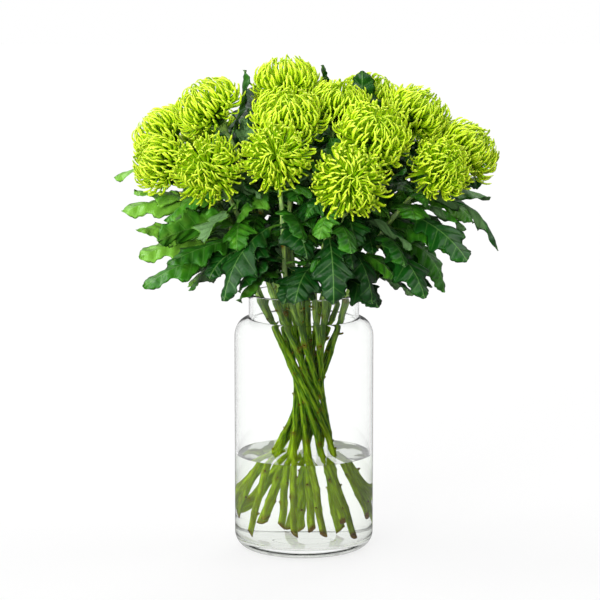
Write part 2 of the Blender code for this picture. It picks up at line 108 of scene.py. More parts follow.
# The stubs of stripped leaves: the height that they end at, their length and radius, and then, at
# stations along a stub's length, its taper and its browning
STRIPPED_BELOW = 0.42
STUB_LENGTH = (0.0026, 0.0042)
STUB_MORE_IN_NECK = 0.007
NECK_MIDDLE = 0.32
NECK_REACH = 0.07
STUB_CLIMB = 0.55
STUB_RADIUS = (0.0011, 0.0017)
STUB_STATIONS = (0.0, 0.45, 0.8, 0.97, 1.0)
STUB_TAPER = (1.45, 1.1, 0.9, 0.8, 0.45)
STUB_BROWNING = (0.1, 0.3, 0.6, 1.0, 1.3)

# The flowers: the bloom's centre to the right, back and up, in metres, the way that it faces in degrees
# round from the front to the right and above level, and its radius
FLOWERS = (
    (-0.192, 0.032, 0.560, -95, 40, 0.046),
    (-0.126, -0.040, 0.602, -60, 52, 0.048),
    (-0.124, -0.130, 0.530, -18, 26, 0.049),
    (-0.190, -0.055, 0.530, -62, 20, 0.044),
    (-0.024, 0.015, 0.631, -35, 78, 0.047),
    (-0.021, -0.080, 0.591, 0, 57, 0.051),
    (-0.035, -0.165, 0.549, -5, 20, 0.047),
    (0.046, -0.030, 0.602, 20, 60, 0.045),
    (0.092, 0.060, 0.605, 50, 62, 0.045),
    (0.152, 0.000, 0.588, 50, 50, 0.048),
    (0.091, -0.100, 0.569, 15, 42, 0.052),
    (0.059, -0.170, 0.518, 5, 20, 0.050),
    (0.179, -0.085, 0.524, 25, 26, 0.044),
    (0.219, 0.000, 0.540, 62, 38, 0.048),
    (-0.130, 0.118, 0.550, -140, 36, 0.048),
    (-0.050, 0.172, 0.536, -172, 28, 0.049),
    (-0.015, 0.108, 0.596, 178, 62, 0.046),
    (0.086, 0.150, 0.560, 155, 36, 0.049),
    (0.185, 0.095, 0.540, 118, 30, 0.047),
)
CORE_SET_BACK = 0.30
CORE_FOOT = -0.26
NEIGHBOUR_REACH = 1.12

# A bloom's petals, in fractions of its radius and in degrees from its axis
PETALS = 230
GOLDEN_ANGLE = math.pi * (3 - math.sqrt(5))
LOWEST_TILT = 95
PETAL_STEPS = 32
PETAL_STATIONS = (0, 7, 12, 16, 19, 22, 24, 26, 28, 30, 31, 32)
PETAL_SIDES = 5
PETAL_WIDTH = 0.0315
PETAL_SAG = 0.07
SHORTER_BELOW = 0.10
# Mean and spread, in degrees, of a petal's stray from its tilt, its arch outwards, the hook at its
# end, its swing sideways and the curl of its hook
TILT_STRAY = (0, 3.0)
PETAL_ARCH = (27, 5)
PETAL_HOOK = (106, 15)
PETAL_SWING = (0, 8)
PETAL_CURL = (0, 14)
# How much less outer petals and straying ones hook, how much more the inner ones of a closed bloom do,
# and the share of its length where a petal's hook starts, with how much later it does in outer petals
OUTER_UNHOOKED = 34
STRAYING_UNHOOKED = 15
CLOSED_HOOKED = 20
HOOK_START = 0.50
OUTER_HOOK_LATER = 0.14
# Outer petals: the tilt that they begin at, and how far on from it they are wholly outer
OUTER_TILT = 35
OUTER_SPAN = 55
STRAYING_SHARE = 0.15
LENGTH_SPREAD = 0.035
# The dome that the petals reach: half its width, how much wider outer petals make it, and its middle's
# height and rise; then half the width, the height and the rise of the smaller dome that they grow from
DOME_WIDTH = 0.94
DOME_FLARE = 0.09
DOME_HEIGHT = 0.20
DOME_RISE = 0.82
FOOT_WIDTH = 0.15
FOOT_HEIGHT = -0.18
FOOT_RISE = 0.16
RECEPTACLE_RISE = 0.24
BRACTS = 22
BRACT_REACH = 0.20
BRACT_WIDTH = 0.034
BRACT_CURL = 0.10
# How near to a neighbour's plane petals begin to be pressed back, in metres
CROWDING = 0.008

# A leaf, in fractions of its length: place along the midrib, half width and how far the edge sweeps
# forward; then its other sizes
LEAF_OUTLINE = (
    (0.00, 0.018, 0.00),
    (0.14, 0.024, 0.00),
    (0.34, 0.195, 0.06),
    (0.44, 0.125, 0.01),
    (0.62, 0.240, 0.09),
    (0.76, 0.145, 0.02),
    (1.00, 0.012, 0.00),
)
BROADEST_LENGTH = 0.112
LEAF_FOLD = 0.30
PETIOLE_END = 0.14
LEAF_CLEARANCE = 0.0072
BLOOM_CLEARANCE = 0.003
BLOOM_DEPTH = 0.72
VASE_CLEARANCE = 0.003

# Leaves with a place of their own: flower, height of the root on its stem, tip to the right, back and
# up, rise at the stem and turn about the midrib in degrees
PLACED_LEAVES = (
    (6, 0.452, (-0.103, -0.160, 0.362), 0, 0),
    (2, 0.410, (-0.210, -0.090, 0.368), 8, 12),
    (12, 0.462, (0.212, -0.125, 0.410), 0, -22),
    (11, 0.440, (0.038, -0.160, 0.358), 0, 0),
    (3, 0.420, (-0.218, -0.060, 0.404), 15, 15),
    (3, 0.455, (-0.243, -0.040, 0.466), 30, 15),
    (0, 0.490, (-0.264, 0.010, 0.496), 40, 12),
    (13, 0.470, (0.258, -0.045, 0.412), 28, 35),
    (13, 0.500, (0.243, 0.030, 0.494), 10, -30),
    (12, 0.420, (0.158, -0.110, 0.358), 5, -12),
    (10, 0.425, (0.088, -0.118, 0.352), 5, 10),
    (2, 0.445, (-0.190, -0.125, 0.437), 15, 115),
    (13, 0.420, (0.190, -0.015, 0.352), 10, -15),
    (18, 0.470, (0.255, 0.060, 0.470), 25, -12),
    (5, 0.440, (-0.010, -0.150, 0.405), 0, 15),
    (11, 0.500, (0.132, -0.118, 0.530), 10, 0),
    (4, 0.580, (0.024, 0.045, 0.653), 10, 0),
    (7, 0.540, (0.080, 0.010, 0.648), 40, -60),
    (1, 0.560, (-0.080, 0.020, 0.648), 40, 60),
)
# The other leaves: heights on each stem for stems that lean far out, and for those nearer the middle
OUTER_HEIGHTS = (0.405, 0.450, 0.500)
INNER_HEIGHTS = (0.430, 0.490, 0.540)
OUTER_REACH = 0.115
SIDE_TURN = 40
SIDE_ROLL = 22
LEAF_LENGTH = 0.112
LEAF_RISE = 22
LEAF_DROOP = 58
TURNS_TRIED = (0, 12, -12, 24, -24, 38, -38, 54, -54, 72, -72, 92, -92, 115, -115)
LIFTS_TRIED = (0, 0.014, -0.014)
LENGTHS_TRIED = (1.0, 0.86, 0.72)
MOST_LEAVES = 3
ROOM_BELOW_BLOOM = 0.05
SEARCH_MARGIN = 0.02

# Leaves that the solids leave out, first those with a place of their own
FILLING_LEAVES = (
    (3, 0.440, (-0.222, -0.085, 0.447), 5, 20),
    (3, 0.470, (-0.215, -0.070, 0.490), 15, 10),
    (2, 0.430, (-0.165, -0.135, 0.405), 0, 15),
    (2, 0.470, (-0.150, -0.150, 0.440), 0, 160),
    (9, 0.510, (0.140, -0.070, 0.530), 20, 0),
    (5, 0.530, (0.030, -0.110, 0.552), 25, 10),
    (1, 0.540, (-0.080, -0.035, 0.590), 30, 0),
    (4, 0.560, (-0.075, -0.010, 0.600), 20, 0),
    (5, 0.530, (-0.075, -0.085, 0.560), 20, 0),
    (12, 0.440, (0.120, -0.150, 0.420), 5, 0),
    (12, 0.470, (0.145, -0.135, 0.465), 20, 0),
    (10, 0.500, (0.140, -0.120, 0.500), 20, 0),
    (1, 0.530, (-0.070, 0.060, 0.640), 65, 0),
    (5, 0.520, (-0.075, 0.040, 0.600), 60, 0),
    (5, 0.470, (-0.085, 0.000, 0.515), 30, 30),
    (0, 0.450, (-0.170, 0.000, 0.490), 20, 60),
    (7, 0.525, (0.015, 0.020, 0.590), 50, 0),
    (16, 0.455, (-0.090, 0.030, 0.455), 15, 40),
    (14, 0.455, (-0.150, 0.040, 0.450), 15, 40),
    (0, 0.470, (-0.185, 0.050, 0.475), 10, 40),
)
# Then those that close the bouquet's middle
INNER_LEAF_HEIGHTS = (0.385, 0.412, 0.440, 0.468, 0.496, 0.524, 0.552)
INNER_LEAF_LENGTH = 0.098
INNER_LEAF_CLEARANCE = 0.0030
INNER_MOST_LEAVES = 10

# Then leaves that stand up between the blooms, rooted at shares of the bend from the rim to the calyx
UPRIGHT_SHARES = (0.80, 0.63)
UPRIGHT_LEAF_LENGTH = 0.094
UPRIGHT_RISE = 74
UPRIGHT_DROOP = -38
UPRIGHT_MOST_LEAVES = 12

# Small leaves close under each bloom, rooted at shares of the bend too
COLLAR_SHARES = (0.93, 0.86, 0.79, 0.72)
COLLAR_LEAF_LENGTH = 0.066
COLLAR_RISE = 38
COLLAR_CLEARANCE = 0.0022
COLLAR_MOST_LEAVES = 16

# The finer leaf: its outline between sinuses and lobes, then its rows and columns, teeth and veins
FINE_OUTLINE = (
    (0.000, 0.013, 0.000),
    (0.130, 0.015, 0.000),
    (0.215, 0.085, 0.020),
    (0.245, 0.078, 0.012),
    (0.350, 0.218, 0.052),
    (0.450, 0.128, 0.010),
    (0.625, 0.264, 0.062),
    (0.755, 0.152, 0.010),
    (0.870, 0.138, 0.022),
    (1.000, 0.062, 0.000),
)
TIP_START = 0.90
TEETH_START = 0.20
BLADE_START = 0.13
BLADE_ROWS = 60
BLADE_COLUMNS = 6
TOOTH_SPACING = 0.070
TOOTH_DEPTH = 0.020
VEIN_START = 0.255
VEIN_SPACING = 0.140
VEIN_SLANT = 0.75
QUILTING = 0.0015
MARGIN_WAVES = 2.4
MIDRIB_RIDGE = 0.0011
MIDRIB_WIDTH = 0.0012
BLADE_THICKNESS = 0.0006
PETIOLE_THICKNESS = 0.0024
# Between what each leaf's draws lie: the wave of its margin and where that starts, its twist in degrees,
# how much more it is folded, and how far its tip bends aside
LEAF_DRAWS = ((0.0024, 0.0050), (0, math.tau), (-18, 18), (-0.06, 0.16), (-0.004, 0.004))
# How much lighter the leaves on the bouquet's left are painted: painted light, not their own colour
LEFT_PAINTED_LIGHT = 0.42

# The studio
FLOOR_LIFT = 0.0001
FLOOR_RADIUS = 12.0
FLOOR_GLOW = 0.782
# The wide suns: name, degrees round from the front to the right, degrees above level, how wide each
# looks in degrees, strength, and whether gloss reflects it
LIGHTS = (
    ("key", -105, 55, 35, 0.8, True),
    ("fill", -24, 7, 40, 4.9, False),
    ("side", -65, 14, 40, 1.0, True),
    ("back", 165, 25, 40, 1.6, False),
    ("right", 100, 30, 40, 0.9, False),
)
# The world's least and greatest strength in gloss, on matt surfaces and on those behind glass
GLOSS_LEVELS = (0.21, 1.45)
AMBIENT_LEVELS = (0.10, 0.34)
WINDOW_LEVELS = (0.03, 4.2)
WINDOW = (-72, 30)
CAMERA_PLACE = (-0.0053, -3.548, 0.885)
CAMERA_PITCH = 8.745
CAMERA_LENS = 159.5


def direction(azimuth, elevation):
    """The unit vector at degrees round from the front to the right, and at degrees above level."""
    turn, lift = math.radians(azimuth), math.radians(elevation)
    return np.array([math.sin(turn) * math.cos(lift), -math.cos(turn) * math.cos(lift), math.sin(lift)])


def ease(x):
    """A smooth step: 3x^2 - 2x^3, with x held between 0 and 1."""
    x = np.clip(x, 0, 1)
    return x * x * (3 - 2 * x)


def unit(vectors):
    """The vectors divided by their own lengths."""
    return vectors / np.linalg.norm(vectors, axis=-1, keepdims=True)


def circle(sides):
    """The angles of a regular polygon's corners."""
    return np.linspace(0, math.tau, sides, endpoint=False)


def triples(*parts):
    """Triples of numbers, from three arrays that spread over one another."""
    return np.stack(np.broadcast_arrays(*parts), axis=-1)


def read_off(wanted, reach, points):
    """The points of a line at wanted distances along it; reach is how far along each given point is."""
    return np.stack([np.interp(wanted, reach, points[:, axis]) for axis in range(3)], axis=1)


def put_in_scene(name, data):
    """A new object of a mesh, a light or a camera."""
    made = bpy.data.objects.new(name, data)
    bpy.context.scene.collection.objects.link(made)
    return made


# Meshes


class Skin:
    """Gathers closed surfaces, each a stack of rings, and makes one mesh of them.

    Every point carries two marks for the materials to read: its place on the surface and its tone.
    """

    def __init__(self):
        self.points, self.places, self.tones = [], [], []
        self.quads, self.fans = [], []
        self.quad_slots, self.fan_slots = [], []
        self.count = 0

    def add(self, points, place=(0, 0, 0), tone=(0, 0, 0), slot=0):
        """Adds surfaces of shape (how many, rings, sides, 3), each closed at its two end rings' means.

        The sides run anticlockwise seen from ahead, so the faces point outwards.
        """
        many, rings, sides, _ = points.shape
        marks = [np.broadcast_to(mark, points.shape) for mark in (place, tone)]
        for store, values in zip((self.points, self.places, self.tones), (points, *marks)):
            body = values.reshape(many, rings * sides, 3)
            ends = np.stack([values[:, 0].mean(axis=1), values[:, -1].mean(axis=1)], axis=1)
            store.append(np.concatenate([body, ends], axis=1).reshape(-1, 3))
        grid = np.arange(rings * sides).reshape(rings, sides)
        ahead = np.roll(grid, -1, axis=1)
        quads = np.stack([grid[:-1], ahead[:-1], ahead[1:], grid[1:]], axis=-1).reshape(-1, 4)
        first, last = np.full(sides, rings * sides), np.full(sides, rings * sides + 1)
        fans = np.concatenate(
            [np.stack([first, ahead[0], grid[0]], axis=1), np.stack([last, grid[-1], ahead[-1]], axis=1)]
        )
        starts = self.count + np.arange(many)[:, None, None] * (rings * sides + 2)
        self.quads.append((quads + starts).reshape(-1, 4))
        self.fans.append((fans + starts).reshape(-1, 3))
        self.quad_slots.append(np.full(many * len(quads), slot))
        self.fan_slots.append(np.full(many * len(fans), slot))
        self.count += many * (rings * sides + 2)

    def build(self, name, materials):
        """One mesh object of everything added, smoothly shaded."""
        quads, fans = np.concatenate(self.quads), np.concatenate(self.fans)
        corners = np.concatenate([quads.ravel(), fans.ravel()]).astype(np.int32)
        sizes = np.concatenate([np.full(len(quads), 4), np.full(len(fans), 3)])
        mesh = bpy.data.meshes.new(name)
        mesh.vertices.add(self.count)
        mesh.vertices.foreach_set("co", np.concatenate(self.points).astype(np.float32).ravel())
        mesh.loops.add(len(corners))
        mesh.loops.foreach_set("vertex_index", corners)
        mesh.polygons.add(len(sizes))
        mesh.polygons.foreach_set("loop_start", (np.cumsum(sizes) - sizes).astype(np.int32))
        slots = np.concatenate(self.quad_slots + self.fan_slots)
        mesh.polygons.foreach_set("material_index", slots.astype(np.int32))
        for label, marks in (("place", self.places), ("tone", self.tones)):
            layer = mesh.attributes.new(label, "FLOAT_VECTOR", "POINT")
            layer.data.foreach_set("vector", np.concatenate(marks).astype(np.float32).ravel())
        mesh.update(calc_edges=True)
        mesh.validate()
        mesh.shade_smooth()
        for material in materials:
            mesh.materials.append(material)
        return put_in_scene(name, mesh)


def rings_round(path, across, half_widths, half_depths, angles):
    """Rings of points round each station of a path, of shape (..., stations, sides, 3).

    The ring's width lies along the part of `across` square to the path, its depth square to both:
    point = station + width * cos(angle) * sideways + depth * sin(angle) * (path's heading x sideways).
    """
    ahead = unit(np.gradient(path, axis=-2))
    sideways = unit(across - (across * ahead).sum(axis=-1, keepdims=True) * ahead)
    upward = np.cross(ahead, sideways)
    wide = (half_widths[..., None] * np.cos(angles))[..., None] * sideways[..., None, :]
    deep = (half_depths[..., None] * np.sin(angles))[..., None] * upward[..., None, :]
    return path[..., None, :] + wide + deep


def set_piece(piece, material_slot, *nodes):
    """The piece stands for the CAD nodes and moves with the one body."""
    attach(piece, "root")
    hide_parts(*nodes)


# Vase and water


def arc(centre, radii, start, end, steps=ARC_STEPS):
    """Points of an ellipse round centre, from start to end degrees, as (radius, height)."""
    turns = np.radians(np.linspace(start, end, steps + 1))
    return np.stack([centre[0] + radii[0] * np.cos(turns), centre[1] + radii[1] * np.sin(turns)], axis=1)


def straight(start, end, steps):
    """Points between two (radius, height) points, without the ends."""
    return np.linspace(start, end, steps + 2)[1:-1]


def turned(outline):
    """The outline turned round the axis: (radius cos a, radius sin a, height) for each angle a."""
    radius, height = np.asarray(outline).T[:, :, None]
    angles = circle(LATHE_SIDES)
    return triples(radius * np.cos(angles), radius * np.sin(angles), height)


def outer_arcs(steps=ARC_STEPS):
    """The vase's heel and its shoulder, as quarter ellipses."""
    heel = arc((BODY_RADIUS - HEEL_RADIUS, HEEL_RADIUS), (HEEL_RADIUS, HEEL_RADIUS), -90, 0, steps)
    inset = (BODY_RADIUS - NECK_RADIUS, SHOULDER_HEIGHT)
    return heel, arc((NECK_RADIUS, SHOULDER_START), inset, 0, 90, steps)


def hollow_foot(side, base):
    """The foot of the vase's hollow, from the middle of its floor at base to its side."""
    corner = (side - INNER_HEEL_RADIUS, base + INNER_HEEL_RADIUS)
    level = straight((0.0, base), (corner[0], base), 6)
    return np.concatenate([level, arc(corner, (INNER_HEEL_RADIUS, INNER_HEEL_RADIUS), -90, 0)])


def vase_outline():
    """The vase's section, from the middle of its underside, up outside, over the rim and down inside.

    The underside has a ring-shaped groove, whose depth goes as sin^2 across it.
    """
    ring = PUNT_RADIUS + PUNT_WIDTH
    lip = WALL / 2
    brim = VASE_HEIGHT - lip
    neck = SHOULDER_START + SHOULDER_HEIGHT
    punt = np.linspace(PUNT_RADIUS, ring, 9)
    groove = PUNT_DEPTH * np.sin(np.pi * (punt - PUNT_RADIUS) / PUNT_WIDTH) ** 2
    inset = (BODY_RADIUS - NECK_RADIUS, SHOULDER_HEIGHT - lip)
    heel, shoulder = outer_arcs()
    hollow = hollow_foot(INNER_RADIUS, BASE_THICKNESS)
    return np.concatenate([
        straight((0.0, 0.0), (PUNT_RADIUS, 0.0), 3),
        np.stack([punt, groove], axis=1),
        straight((ring, 0.0), (BODY_RADIUS - HEEL_RADIUS, 0.0), 3),
        heel,
        straight((BODY_RADIUS, HEEL_RADIUS), (BODY_RADIUS, SHOULDER_START), 10),
        shoulder,
        straight((NECK_RADIUS, neck), (NECK_RADIUS, brim), 4),
        arc((NECK_RADIUS - lip, brim), (lip, lip), 0, 180, 10),
        straight((NECK_RADIUS - WALL, brim), (NECK_RADIUS - WALL, neck), 4),
        arc((NECK_RADIUS - WALL, SHOULDER_START), inset, 0, 90)[::-1],
        straight((INNER_RADIUS, SHOULDER_START), hollow[-1], 10),
        hollow[::-1],
    ])


def water_outline():
    """The water fills the vase's foot, and its surface climbs the wall as exp(-distance / meniscus).

    It runs a hair into the glass, so that no film of air lies between them.
    """
    side = INNER_RADIUS + WATER_OVERLAP
    hollow = hollow_foot(side, BASE_THICKNESS - WATER_OVERLAP)
    inward = side * (1 - np.linspace(0, 1, 60, endpoint=False) ** 2.4)
    surface = WATER_LEVEL + MENISCUS * np.exp(-(side - inward) / MENISCUS)
    return np.concatenate([
        hollow,
        straight(hollow[-1], (side, WATER_LEVEL), 8),
        [(side, WATER_LEVEL + MENISCUS - step) for step in (0.0016, 0.0008, 0.0003, 0.0001)],
        np.stack([inward, surface], axis=1),
    ])


def make_turned(name, outline, material, material_slot, node):
    """The piece that an outline makes when it turns round the axis."""
    skin = Skin()
    skin.add(turned(outline)[None])
    set_piece(skin.build(name, [material]), material_slot, node)


# Stems


def waist_places():
    """Where each stem crosses the waist, as complex numbers x + iy.

    The bundle is one pattern that turns and grows with distance from the waist, so stems never meet.
    Each stem leaves the neck on its own bloom's side, and near stems are pushed apart at the waist.
    """
    blooms = np.array([complex(x, y) for x, y, *_ in FLOWERS])
    reach = np.abs(blooms)
    neck = blooms / reach * NECK_SPREAD * (reach / reach.max()) ** NECK_SPREAD_POWER
    places = neck / (1 - 1j * TWIST * (VASE_HEIGHT - WAIST_HEIGHT))
    for _ in range(SETTLING_ROUNDS):
        apart = places[:, None] - places[None, :]
        distance = np.abs(apart) + np.eye(len(places))
        push = np.clip(WAIST_SPACING - distance, 0, None) * (1 - np.eye(len(places)))
        places = places + (apart / distance * push * SETTLING_PUSH).sum(axis=1)
        places = places * np.minimum(1, WAIST_RADIUS / np.abs(places))
    return places


def bundle_point(place, height):
    """The points at the heights of the stem that crosses the waist at place."""
    height = np.asarray(height, dtype=float)
    flat = place * (1 - 1j * TWIST * (height - WAIST_HEIGHT))
    flat = flat + WAIST_OFFSET * np.exp(-(((height - WAIST_HEIGHT) / WAIST_OFFSET_REACH) ** 2))
    return np.stack([flat.real, flat.imag, height], axis=-1)


class Stem:
    """One flower's stem: straight through the bundle, then a bend out to its bloom.

    It is cut at one of five heights in turn, or above that where it would meet the glass.
    """

    def __init__(self, number, place):
        x, y, z, azimuth, elevation, radius = FLOWERS[number]
        self.number = number
        self.label = f"{number + 1:02d}"
        self.place = place
        self.centre = np.array([x, y, z])
        self.facing = direction(azimuth, elevation)
        self.bloom_radius = radius
        self.core = self.centre - self.facing * radius * CORE_SET_BACK
        self.top = self.core + self.facing * (CORE_FOOT * radius - GAP)
        self.calyx = self.top - self.facing * CALYX_HEIGHT
        spread = (INNER_RADIUS - STEM_TO_WALL) / abs(place)
        at_wall = WAIST_HEIGHT - math.sqrt(spread**2 - 1) / TWIST
        self.foot = max(LOWEST_END + END_STEP * (number * 3 % 5), at_wall)

    def bend(self, shares):
        """Points of the cubic curve from the neck of the vase to the calyx, at shares of the way."""
        start = bundle_point(self.place, VASE_HEIGHT)
        lean = start - bundle_point(self.place, VASE_HEIGHT - 0.01)
        lean /= np.linalg.norm(lean)
        pull = BEND_PULL * np.linalg.norm(self.calyx - start)
        t = np.asarray(shares)[:, None]
        return (
            (1 - t) ** 3 * start
            + 3 * (1 - t) ** 2 * t * (start + lean * pull)
            + 3 * (1 - t) * t**2 * (self.calyx - self.facing * pull)
            + t**3 * self.calyx
        )

    def at_height(self, height):
        """The point of the bend nearest to a height."""
        points = self.bend(np.linspace(0, 1, 101))
        return points[np.abs(points[:, 2] - height).argmin()]

    def samples(self):
        """Points every few millimetres along the solid's own straight runs."""
        bundled = [bundle_point(self.place, height) for height in (self.foot, WAIST_HEIGHT, VASE_HEIGHT)]
        stations = [*bundled, *self.bend((0.2, 0.4, 0.6, 0.8)), self.calyx, self.top]
        runs = []
        for start, end in zip(stations, stations[1:]):
            runs.append(np.linspace(start, end, 2 + int(np.linalg.norm(end - start) / SAMPLE_STEP)))
        return np.concatenate(runs)

    def centre_line(self):
        """(how far along, point) down the middle of the whole stem, from the cut foot to the calyx."""
        coarse = np.concatenate([
            bundle_point(self.place, np.linspace(self.foot, VASE_HEIGHT, 120)[:-1]),
            self.bend(np.linspace(0, 1, 160)),
            [self.top],
        ])
        reach = np.append(0, np.cumsum(np.linalg.norm(np.diff(coarse, axis=0), axis=1)))
        wanted = np.linspace(0, reach[-1], int(reach[-1] / LINE_STEP))
        return wanted, read_off(wanted, reach, coarse)

    def spokes(self, turn):
        """(outward, around): the ways out from the bloom's axis and on round it, at turns about it."""
        side = np.cross(self.facing, [0, 0, 1.0])
        side /= np.linalg.norm(side)
        up = np.cross(self.facing, side)
        return np.cos(turn) * side + np.sin(turn) * up, np.cos(turn) * up - np.sin(turn) * side

    def in_bloom(self, local, outward, around):
        """The points at local [out, round, up] from the bloom's core, in fractions of its radius."""
        apart = local[..., :1] * outward + local[..., 1:2] * around + local[..., 2:] * self.facing
        return self.core + self.bloom_radius * apart


# Leaves


@dataclass
class Leaf:
    """One leaf: its midrib arcs from the stem, and its halves fall away as a shallow roof."""

    root: np.ndarray
    heading: float
    length: float
    rise: float
    droop: float
    roll: float

    def midrib(self, t):
        """(points, tangents) of the midrib at shares t of its length.

        Its slope turns evenly from rise to -droop.
        """
        fine = np.linspace(0, 1, 61)
        slope = np.radians(self.rise - (self.rise + self.droop) * fine)
        middle = (slope[1:] + slope[:-1]) / 2
        step = self.length / (len(fine) - 1)
        along = np.interp(t, fine, np.append(0, np.cumsum(np.cos(middle)))) * step
        lift = np.interp(t, fine, np.append(0, np.cumsum(np.sin(middle)))) * step
        angle = np.interp(t, fine, slope)[:, None]
        ahead, upright = direction(self.heading, 0), np.array([0, 0, 1.0])
        points = self.root + along[:, None] * ahead + lift[:, None] * upright
        return points, np.cos(angle) * ahead + np.sin(angle) * upright

    def frame(self, t, roll):
        """(points, tangents, sideways, normals) along the midrib, with the blade turned about it."""
        points, tangents = self.midrib(t)
        level = np.cross(direction(self.heading, 0), [0, 0, 1.0])
        upper = np.cross(level, tangents)
        side = level * np.cos(roll) + upper * np.sin(roll)
        return points, tangents, side, np.cross(side, tangents)

    def surface(self, t, across):
        """Points of the blade at shares t of the length and across of the half width, from -1 to 1."""
        places, halves, sweeps = np.array(LEAF_OUTLINE).T
        half = np.interp(t, places, halves)[:, None, None] * min(self.length, BROADEST_LENGTH)
        sweep = np.interp(t, places, sweeps)[:, None, None] * self.length
        parts = self.frame(t, math.radians(self.roll))
        points, tangents, side, normal = (part[:, None, :] for part in parts)
        spread = np.asarray(across)[None, :, None]
        return (
            points
            + side * half * spread
            + tangents * sweep * np.abs(spread)
            - normal * LEAF_FOLD * half * np.abs(spread)
        )

    def samples(self):
        """Points spread over the blade beyond its stalk, a few millimetres apart."""
        t = np.linspace(PETIOLE_END, 1, 2 + int(self.length / SAMPLE_STEP))
        return self.surface(t, np.linspace(-1, 1, 17)).reshape(-1, 3)


def vase_radius(heights):
    """The vase's outer radius at each height, from the heel up."""
    rim = [(NECK_RADIUS, VASE_HEIGHT - WALL / 2)]
    radii, levels = np.concatenate([*outer_arcs(3), rim]).T
    return np.interp(heights, levels, radii)


class Clearances:
    """What is already in its place, and the test that a new leaf keeps clear of it."""

    def __init__(self, stems):
        self.stems = stems
        self.stem_points = [stem.samples() for stem in stems]
        self.leaf_points = []

    def takes(self, leaf, owner, clearance):
        """True if the leaf of stem number owner clears the vase, blooms, other stems and leaves."""
        points = leaf.samples()
        low = points[:, 2] < VASE_HEIGHT + VASE_CLEARANCE
        inside = np.hypot(points[:, 0], points[:, 1]) < vase_radius(points[:, 2]) + VASE_CLEARANCE
        if (low & inside).any():
            return False
        if any(within_bloom(points, stem).any() for stem in self.stems):
            return False
        others = [route for number, route in enumerate(self.stem_points) if number != owner]
        others += self.leaf_points
        return all(nearest(some, others) > clearance for some in (points[::7], points))

    def add(self, leaf):
        self.leaf_points.append(leaf.samples())


def within_bloom(points, stem):
    """Which points lie in the flattened ball that a bloom's petals fill, with a little room round it."""
    apart = points - stem.centre
    along = apart @ stem.facing
    out = np.linalg.norm(apart - along[:, None] * stem.facing, axis=1)
    radius = stem.bloom_radius + BLOOM_CLEARANCE
    depth = stem.bloom_radius * BLOOM_DEPTH + BLOOM_CLEARANCE
    return (out / radius) ** 2 + (along / depth) ** 2 < 1


def nearest(points, groups):
    """The least distance from any of the points to any point of the groups."""
    obstacles = np.concatenate(groups)
    low, high = points.min(axis=0) - SEARCH_MARGIN, points.max(axis=0) + SEARCH_MARGIN
    obstacles = obstacles[((obstacles > low) & (obstacles < high)).all(axis=1)]
    if not len(obstacles):
        return math.inf
    centre = points.mean(axis=0)
    points, obstacles = points - centre, obstacles - centre
    squares = (points**2).sum(axis=1)[:, None] + (obstacles**2).sum(axis=1) - 2 * points @ obstacles.T
    return math.sqrt(max(squares.min(), 0))


def leaf_to(root, tip, rise, roll):
    """The leaf from root to tip that leaves the stem at rise degrees: its midrib is a circular arc."""
    across = np.asarray(tip) - root
    chord = math.degrees(math.atan2(across[2], math.hypot(across[0], across[1])))
    length = np.linalg.norm(across) / np.sinc((rise - chord) / 180)
    heading = math.degrees(math.atan2(across[0], -across[1]))
    return Leaf(root, heading, length, rise, rise - 2 * chord, roll)


def placed_wishes(stems, rows):
    """(flower's number, height on its stem, leaf) for leaves with a place of their own."""
    wishes = []
    for number, height, tip, rise, roll in rows:
        wishes.append((number, height, leaf_to(stems[number].at_height(height), tip, rise, roll)))
    return wishes


def wished_leaves(stems):
    """Every leaf of the solids that the bouquet would hold."""
    wishes = placed_wishes(stems, PLACED_LEAVES)
    for number, stem in enumerate(stems):
        outer = math.hypot(*stem.centre[:2]) > OUTER_REACH
        for step, height in enumerate(OUTER_HEIGHTS if outer else INNER_HEIGHTS):
            root = stem.at_height(height)
            outward = math.degrees(math.atan2(root[0], -root[1]))
            side = 1 if (step + number) % 2 else -1
            heading, roll = outward + side * SIDE_TURN, side * SIDE_ROLL
            leaf = Leaf(root, heading, LEAF_LENGTH, LEAF_RISE, LEAF_DROOP, roll)
            wishes.append((number, height, leaf))
    return wishes


def inner_wishes(stems):
    """The leaves further in: up each stem, each turned by the golden angle from the one below."""
    wishes = placed_wishes(stems, FILLING_LEAVES)
    for step, height in enumerate(INNER_LEAF_HEIGHTS):
        for number, stem in enumerate(stems):
            if height > stem.centre[2] - ROOM_BELOW_BLOOM:
                continue
            heading = math.degrees(GOLDEN_ANGLE) * (step + 3 * number)
            roll = SIDE_ROLL * (1 if (step + number) % 2 else -1)
            root = stem.at_height(height)
            leaf = Leaf(root, heading, INNER_LEAF_LENGTH, LEAF_RISE, LEAF_DROOP, roll)
            wishes.append((number, height, leaf))
    return wishes


def bend_wishes(stems, shares, length, rise, droop):
    """Leaves at shares of each stem's bend from the top down, each a golden angle on from the last."""
    wishes = []
    for step, share in enumerate(shares):
        for number, stem in enumerate(stems):
            root = stem.bend([share])[0]
            heading = math.degrees(GOLDEN_ANGLE) * (step + 2 * number)
            leaf = Leaf(root, heading, length, rise, droop, SIDE_ROLL)
            wishes.append((number, root[2], leaf))
    return wishes


def variants(stem, height, leaf):
    """The leaf as wished, then turned about the stem, moved along it and made smaller."""
    for share in LENGTHS_TRIED:
        for lift in LIFTS_TRIED:
            root = stem.at_height(height + lift)
            for turn in TURNS_TRIED:
                yield Leaf(root, leaf.heading + turn, leaf.length * share, leaf.rise, leaf.droop, leaf.roll)


